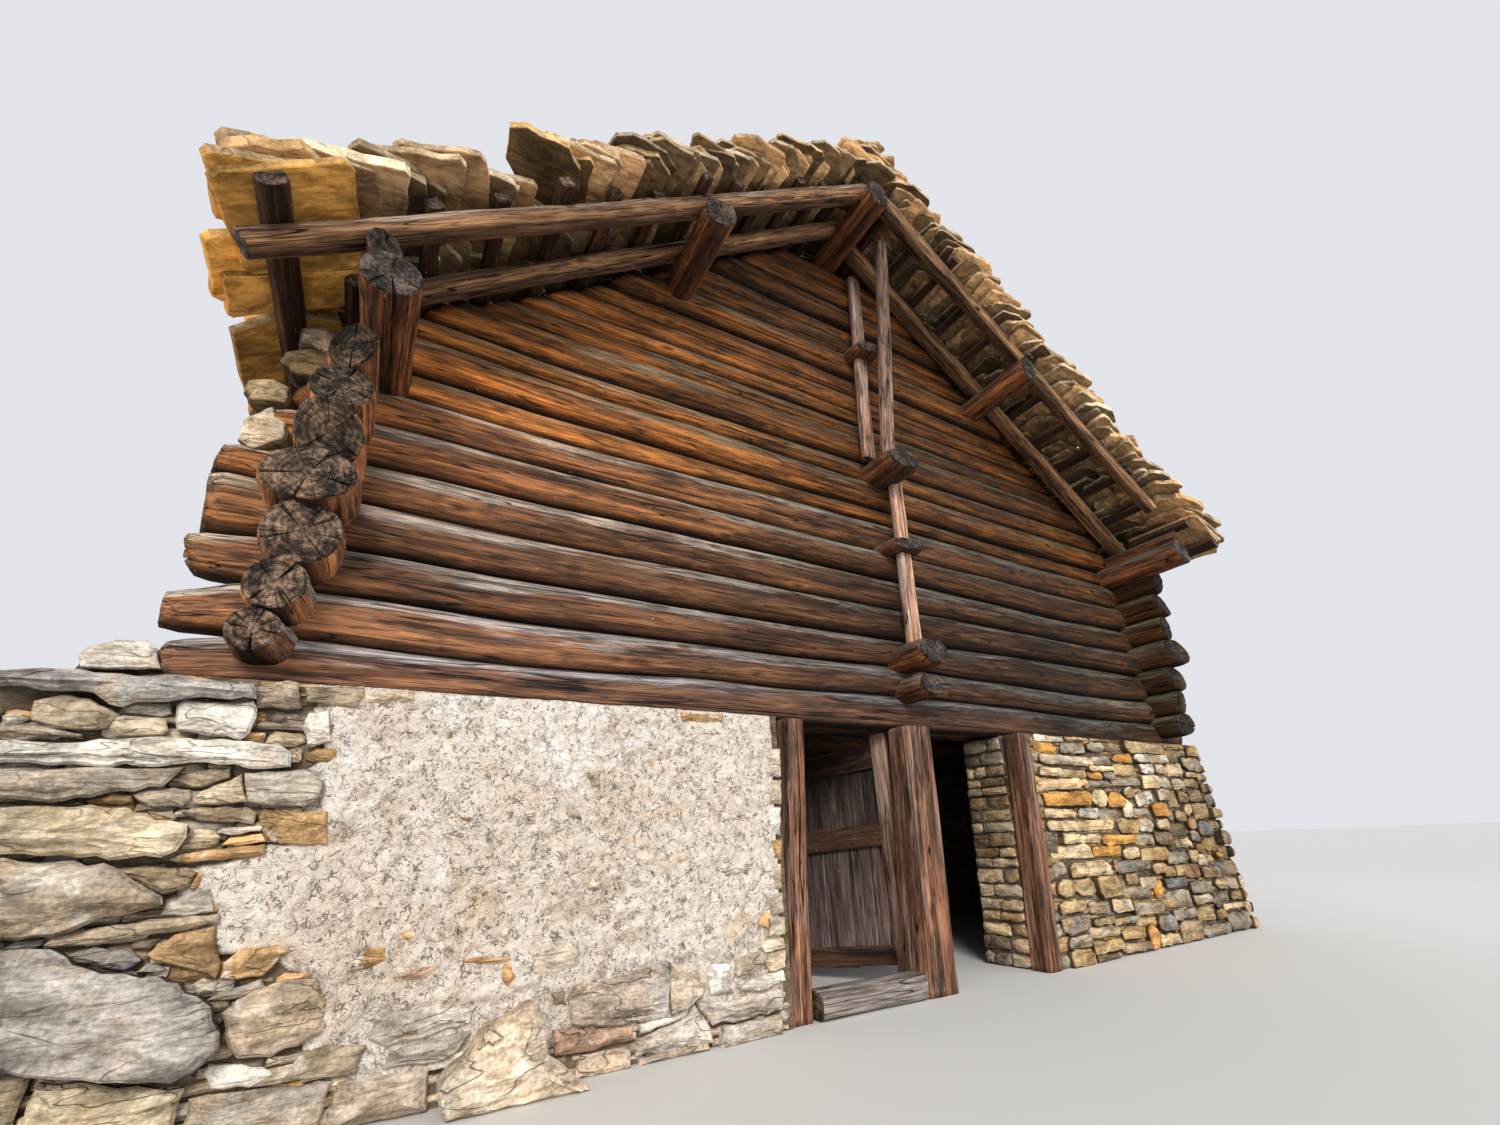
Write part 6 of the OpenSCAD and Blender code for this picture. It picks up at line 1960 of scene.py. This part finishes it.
def posts():
    for name, node, x, y0, y1, w, dg, seed in (
        ("left_post_piece", "left_door_post", -1.11, -0.06, 0.14, 0.16, 3.0, 1),
        ("middle_post_piece", "middle_door_post", 0.015, -0.10, 0.15, 0.30, 4.5, 2),
        ("right_post_piece", "right_door_post", 1.2, -0.11, 0.065, 0.17, 8.0, 3),
    ):
        B = Build(name, 100 + seed)
        z1 = BASE_H - 0.002
        yc = (y0 + y1) / 2
        n = 46
        t = np.linspace(0, 1, n)
        z = t * z1
        C = np.stack([lean(x, z, dg) + 0.006 * noise3(np.stack([z * 1.5, np.full(n, seed * 3.0), np.zeros(n)], -1), 5), np.full(n, yc), z], 1)
        hw = w / 2 * (1 + 0.04 * noise3(np.stack([z * 1.7, np.full(n, seed * 7.0), np.zeros(n)], -1), 6))
        if node == "middle_door_post":
            hw = hw * (1 + 0.1 * (0.5 - t))
        hh = (y1 - y0) / 2 * np.ones(n)
        tube(B, C, (1, 0, 0), (0, -1, 0), hw, hh, e=0.34, m=32, rough=0.007, groove=0.005, seed=seed, chamfer=0.0, rnd=((0.85, 0.55, 0.65)[seed - 1], 0.4, 0.3))
        B.make(MAT_POST, replaces=[node])
    B = Build("threshold_piece", 104)
    stick(B, (-1.0, -0.01, 0.076), (-0.15, -0.01, 0.072), (0, 0, 1), 0.21, 0.15, n=30, m=20, e=0.55, wob=0.004, seed=9, rough=0.01, groove=0.004, chamfer=0.004)
    B.make(MAT_SILL, replaces=["threshold_log"])


def rot_pts(p, org, rx, ry):
    """Rotate the OpenSCAD way: about Y by ry, then about X by rx, then move to org."""
    a, b = math.radians(rx), math.radians(ry)
    Ry = np.array([[math.cos(b), 0, math.sin(b)], [0, 1, 0], [-math.sin(b), 0, math.cos(b)]])
    Rx = np.array([[1, 0, 0], [0, math.cos(a), -math.sin(a)], [0, math.sin(a), math.cos(a)]])
    return np.asarray(org) + Rx @ (Ry @ np.asarray(p, float))


STUBS = [
    (0.215, 2.10, 0.23, 0.20, 0.25),
    (0.225, 2.36, 0.32, 0.23, 0.33),
    (0.26, 3.40, 0.35, 0.13, 0.23),
    (0.20, 4.215, 0.40, 0.26, 0.40),
    (0.13, 5.70, 0.30, 0.13, 0.26),
]


def clamps():
    B = Build("lower_clamp_piece", 110)
    a = rot_pts((0, 0, 0.0), (0.225, -0.125, 2.3), 0, 3)
    b = rot_pts((0, 0, 2.05), (0.225, -0.125, 2.3), 0, 3)
    stick(B, a, b, (0, -1, 0), 0.132, 0.086, n=44, m=18, e=0.45, wob=0.005, seed=12, rough=0.004, groove=0.004, chamfer=0.003)
    B.make(MAT_CLAMP, replaces=["lower_clamp_post"])
    B = Build("upper_clamps_piece", 111)
    a = rot_pts((0, 0, 0.0), (0.122, -0.265, 4.13), 5.5, 5.2)
    b = rot_pts((0, 0, 2.96), (0.115, -0.265, 4.13), 5.5, 3.4)
    stick(B, a, b, (0, -1, 0), 0.138, 0.1, n=60, m=18, e=0.6, wob=0.01, seed=14, rough=0.005, groove=0.004, chamfer=0.004)
    a = rot_pts((0, 0, 0.0), (0.04, -0.105, 4.335), 0, 4.2)
    b = rot_pts((0, 0, 2.6), (0.04, -0.105, 4.335), 0, 4.0)
    stick(B, a, b, (0, -1, 0), 0.138, 0.08, n=50, m=16, e=0.5, wob=0.006, seed=15, rough=0.004, groove=0.004, chamfer=0.003)
    B.make(MAT_CLAMP, replaces=["upper_clamp_posts"])
    B = Build("clamp_stubs_piece", 112)
    for i, (x, z, w, h, reach) in enumerate(STUBS):
        r = np.random.default_rng(120 + i)
        n = 16
        y = np.linspace(0.32, -reach, n)
        C = np.stack([np.full(n, x), y, np.full(n, z)], 1)
        k = 1 + 0.06 * noise3(np.stack([y * 5, np.full(n, i * 3.0), np.zeros(n)], -1), 7)
        end = 1 - 0.16 * smooth(-y, reach - 0.06, reach)
        ee = 0.9 if h > 0.19 else 0.5
        tube(B, C, (1, 0, 0), (0, 0, 1), w / 2 * k * end, h / 2 * k * end, e=ee, m=24, rough=0.01, groove=0.003, seed=120 + i, chamfer=0.02, tilt1=tuple(r.uniform(-0.2, 0.2, 2)), rnd=r.random(3))
    B.make(MAT_BEAM, replaces=["clamp_stubs"])


def floor_inside():
    B = Build("joists_piece", 130)
    n = 8
    for i in range(n):
        y = FRONT_IN - 0.06 + i * (BACK_IN - FRONT_IN + 0.12) / (n - 1)
        stick(B, (-IN_X - 0.06, y, BASE_H + 0.1), (IN_X + 0.06, y, BASE_H + 0.1), (0, 0, 1), 0.2, 0.2, n=24, m=12, wob=0.004, seed=130 + i, e=0.93, rough=0.006, chamfer=0.004)
    B.make(MAT_BATTEN, replaces=["floor_joists"])
    B = Build("floor_boards_piece", 131)
    x = -AX + 0.2
    i = 0
    while x < AX - 0.2 - 0.05:
        w = 0.26 + 0.05 * math.sin(i * 2.3)
        x1 = min(x + w, AX - 0.2)
        stick(B, ((x + x1) / 2, LOG_Y + 0.19, BASE_H + 0.22), ((x + x1) / 2, BACK_Y - 0.19, BASE_H + 0.22), (0, 0, 1), x1 - x - 0.006, 0.038, n=14, m=12, seed=140 + i, e=0.3, rough=0.002, groove=0.001, chamfer=0.002)
        x = x1
        i += 1
    B.make(MAT_LEDGE, replaces=["floor_boards"])


def door():
    ca, sa = math.cos(-DOOR_OPEN), math.sin(-DOOR_OPEN)

    def hang(V):
        V = V.copy()
        V[:, 2] -= DOOR_SAG * np.clip(-V[:, 0], 0, None) / DOOR_W
        x = V[:, 0] * ca - V[:, 1] * sa + HINGE[0]
        y = V[:, 0] * sa + V[:, 1] * ca + HINGE[1]
        return np.stack([x, y, V[:, 2]], 1)

    def hang_plain(V):
        x = V[:, 0] * ca - V[:, 1] * sa + HINGE[0]
        y = V[:, 0] * sa + V[:, 1] * ca + HINGE[1]
        return np.stack([x, y, V[:, 2]], 1)

    B = Build("door_boards_piece", 150)
    edges = [-1.04, -0.86, -0.655, -0.43, -0.235, -0.047]
    for i in range(5):
        a, b = edges[i], edges[i + 1]
        w = b - a - 0.005
        z0 = 0.14 + 0.012 * math.sin(i * 2.1)
        z1 = 1.712 - 0.01 * abs(math.sin(i * 1.7))
        stick(B, ((a + b) / 2, 0.01, z0), ((a + b) / 2, 0.01, z1), (0, -1, 0), w, 0.028, n=30, m=16, seed=150 + i, e=0.25, rough=0.0025, groove=0.0015, chamfer=0.002, xf=hang, rnd=(0.2 + 0.15 * i, 0.3 + 0.1 * (i % 2), 0.17 * i))
    B.make(MAT_DOOR, body="door", replaces=["door_boards"])
    B = Build("door_ledges_piece", 151)
    for i, (za, zb) in enumerate(((1.52, 1.712), (0.94, 1.115), (0.14, 0.265))):
        stick(B, (-1.035, -0.02, (za + zb) / 2), (-0.048, -0.02, (za + zb) / 2), (0, 0, 1), 0.03, zb - za, n=30, m=16, seed=160 + i, e=0.28, rough=0.003, groove=0.0015, chamfer=0.002, xf=hang, rnd=(0.4 + 0.2 * i, 0.2, 0.3 * i))
    B.make(MAT_LEDGE, body="door", replaces=["door_ledges"])
    B = Build("door_stile_piece", 152)
    stick(B, (-0.036, -0.0025, 0.092), (-0.036, -0.0025, BASE_H - 0.014), (0, -1, 0), 0.141, 0.073, n=36, m=18, seed=170, e=0.45, rough=0.003, groove=0.002, chamfer=0.003, xf=hang_plain, rnd=(0.8, 0.7, 0.2))
    t = np.linspace(0.012, 0.104, 7)
    tube(B, np.stack([np.zeros(7), np.zeros(7), t], 1), (1, 0, 0), (0, -1, 0), np.full(7, 0.0275), np.full(7, 0.0275), e=1.0, m=18, rough=0.001, groove=0.001, seed=171, chamfer=0.003, xf=hang_plain, rnd=(0.8, 0.6, 0.2))
    B.make(MAT_STILE, body="door", replaces=["door_stile"])
    # hand-forged nail heads in the ledges
    B = Build("door_nails_piece", 153)
    P, F = grid_box(3, 3, 2)
    Q = P / np.linalg.norm(P, axis=1, keepdims=True)
    for zc in (1.66, 1.57, 1.075, 0.98, 0.235, 0.175):
        for i in range(5):
            xc = (edges[i] + edges[i + 1]) / 2 + 0.03 * math.sin(i * 3 + zc * 9)
            V = Q * np.array([0.009, 0.005, 0.009]) + np.array([xc, -0.0365, zc])
            B.add(hang(V), F, lp=V, rnd=(0.5, 0.5, 0.5))
    M = Mat("old_iron", roughness=0.75, specular=0.4)
    p = M.attr("lp")
    nz = M.noise(p, 240.0, 3)
    M.b.inputs["Metallic"].default_value = 0.5
    iron = M.done(M.ramp(nz, [(0.3, (0.02, 0.014, 0.012)), (0.7, (0.12, 0.055, 0.03))]), M.bump(nz, 0.4, 0.002))
    B.make(iron, body="door")


# ------------------------------------------------------------------
# put it together
# ------------------------------------------------------------------
walls_of_logs()
roof_timbers()
roof_slabs()
corner_rubble()
drystone()
front_left_masonry()
plaster()
posts()
clamps()
floor_inside()
door()

# the walls' cores take the nearly black stone: painted shade in the gaps between stones
for node in ("front_wall_left", "front_wall_right", "left_wall", "right_wall", "back_wall", "side_wall_stub"):
    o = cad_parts[node]
    o.data.materials.clear()
    o.data.materials.append(MAT_CORE_SHADE)

# ------------------------------------------------------------------
# camera, light, floor
# ------------------------------------------------------------------
CAM = np.array([-3.52425 + SX, -3.7 + SY, 0.9805])
RIGHT = np.array([0.8665, -0.4975, -0.0415])
DOWN = np.array([0.1790, 0.3871, -0.9045])
FORE = np.cross(RIGHT, DOWN)
FORE /= np.linalg.norm(FORE)
RIGHT /= np.linalg.norm(RIGHT)
DOWN = np.cross(FORE, RIGHT)
cam_data = bpy.data.cameras.new("camera")
cam = bpy.data.objects.new("camera", cam_data)
bpy.context.scene.collection.objects.link(cam)
mw = Matrix.Identity(4)
for i in range(3):
    mw[i][0] = RIGHT[i]
    mw[i][1] = -DOWN[i]
    mw[i][2] = -FORE[i]
    mw[i][3] = CAM[i]
cam.matrix_world = mw
cam_data.sensor_fit = "HORIZONTAL"
cam_data.sensor_width = 36.0
cam_data.lens = 36.0 * 600.0 / 1500.0
cam_data.clip_start = 0.05
cam_data.clip_end = 400.0
bpy.context.scene.camera = cam

floor_mesh = bpy.data.meshes.new("studio_floor")
floor_mesh.from_pydata([(-80, -80, 0), (80, -80, 0), (80, 80, 0), (-80, 80, 0)], [], [(0, 1, 2, 3)])
floor_obj = bpy.data.objects.new("studio_floor", floor_mesh)
bpy.context.scene.collection.objects.link(floor_obj)
FM = Mat("studio_floor", roughness=0.9, specular=0.1)
FM.b.inputs["Base Color"].default_value = (0.62, 0.61, 0.59, 1)
floor_mesh.materials.append(FM.m)

world = bpy.data.worlds.new("studio")
bpy.context.scene.world = world
world.use_nodes = True
bg = world.node_tree.nodes["Background"]
bg.inputs[0].default_value = (0.93, 0.95, 1.0, 1)
bg.inputs[1].default_value = 0.82
bpy.context.scene.view_settings.view_transform = "Standard"


def lamp(name, kind, loc, target, energy, size=5.0, color=(1, 1, 1), angle=0.6):
    d = bpy.data.lights.new(name, kind)
    d.energy = energy
    d.color = color
    if kind == "AREA":
        d.shape = "DISK"
        d.size = size
    if kind == "SUN":
        d.angle = angle
    o = bpy.data.objects.new(name, d)
    bpy.context.scene.collection.objects.link(o)
    o.location = loc
    v = np.asarray(target, float) - np.asarray(loc, float)
    from mathutils import Vector

    o.rotation_euler = Vector(v).to_track_quat("-Z", "Y").to_euler()
    return o


lamp("key", "SUN", (-5, -14, 10), (0, -2, 2.5), 2.5, color=(1.0, 0.965, 0.91), angle=0.4)
lamp("fill", "AREA", (7, -11, 6), (0, -3, 3), 250, size=9, color=(0.95, 0.97, 1.0))
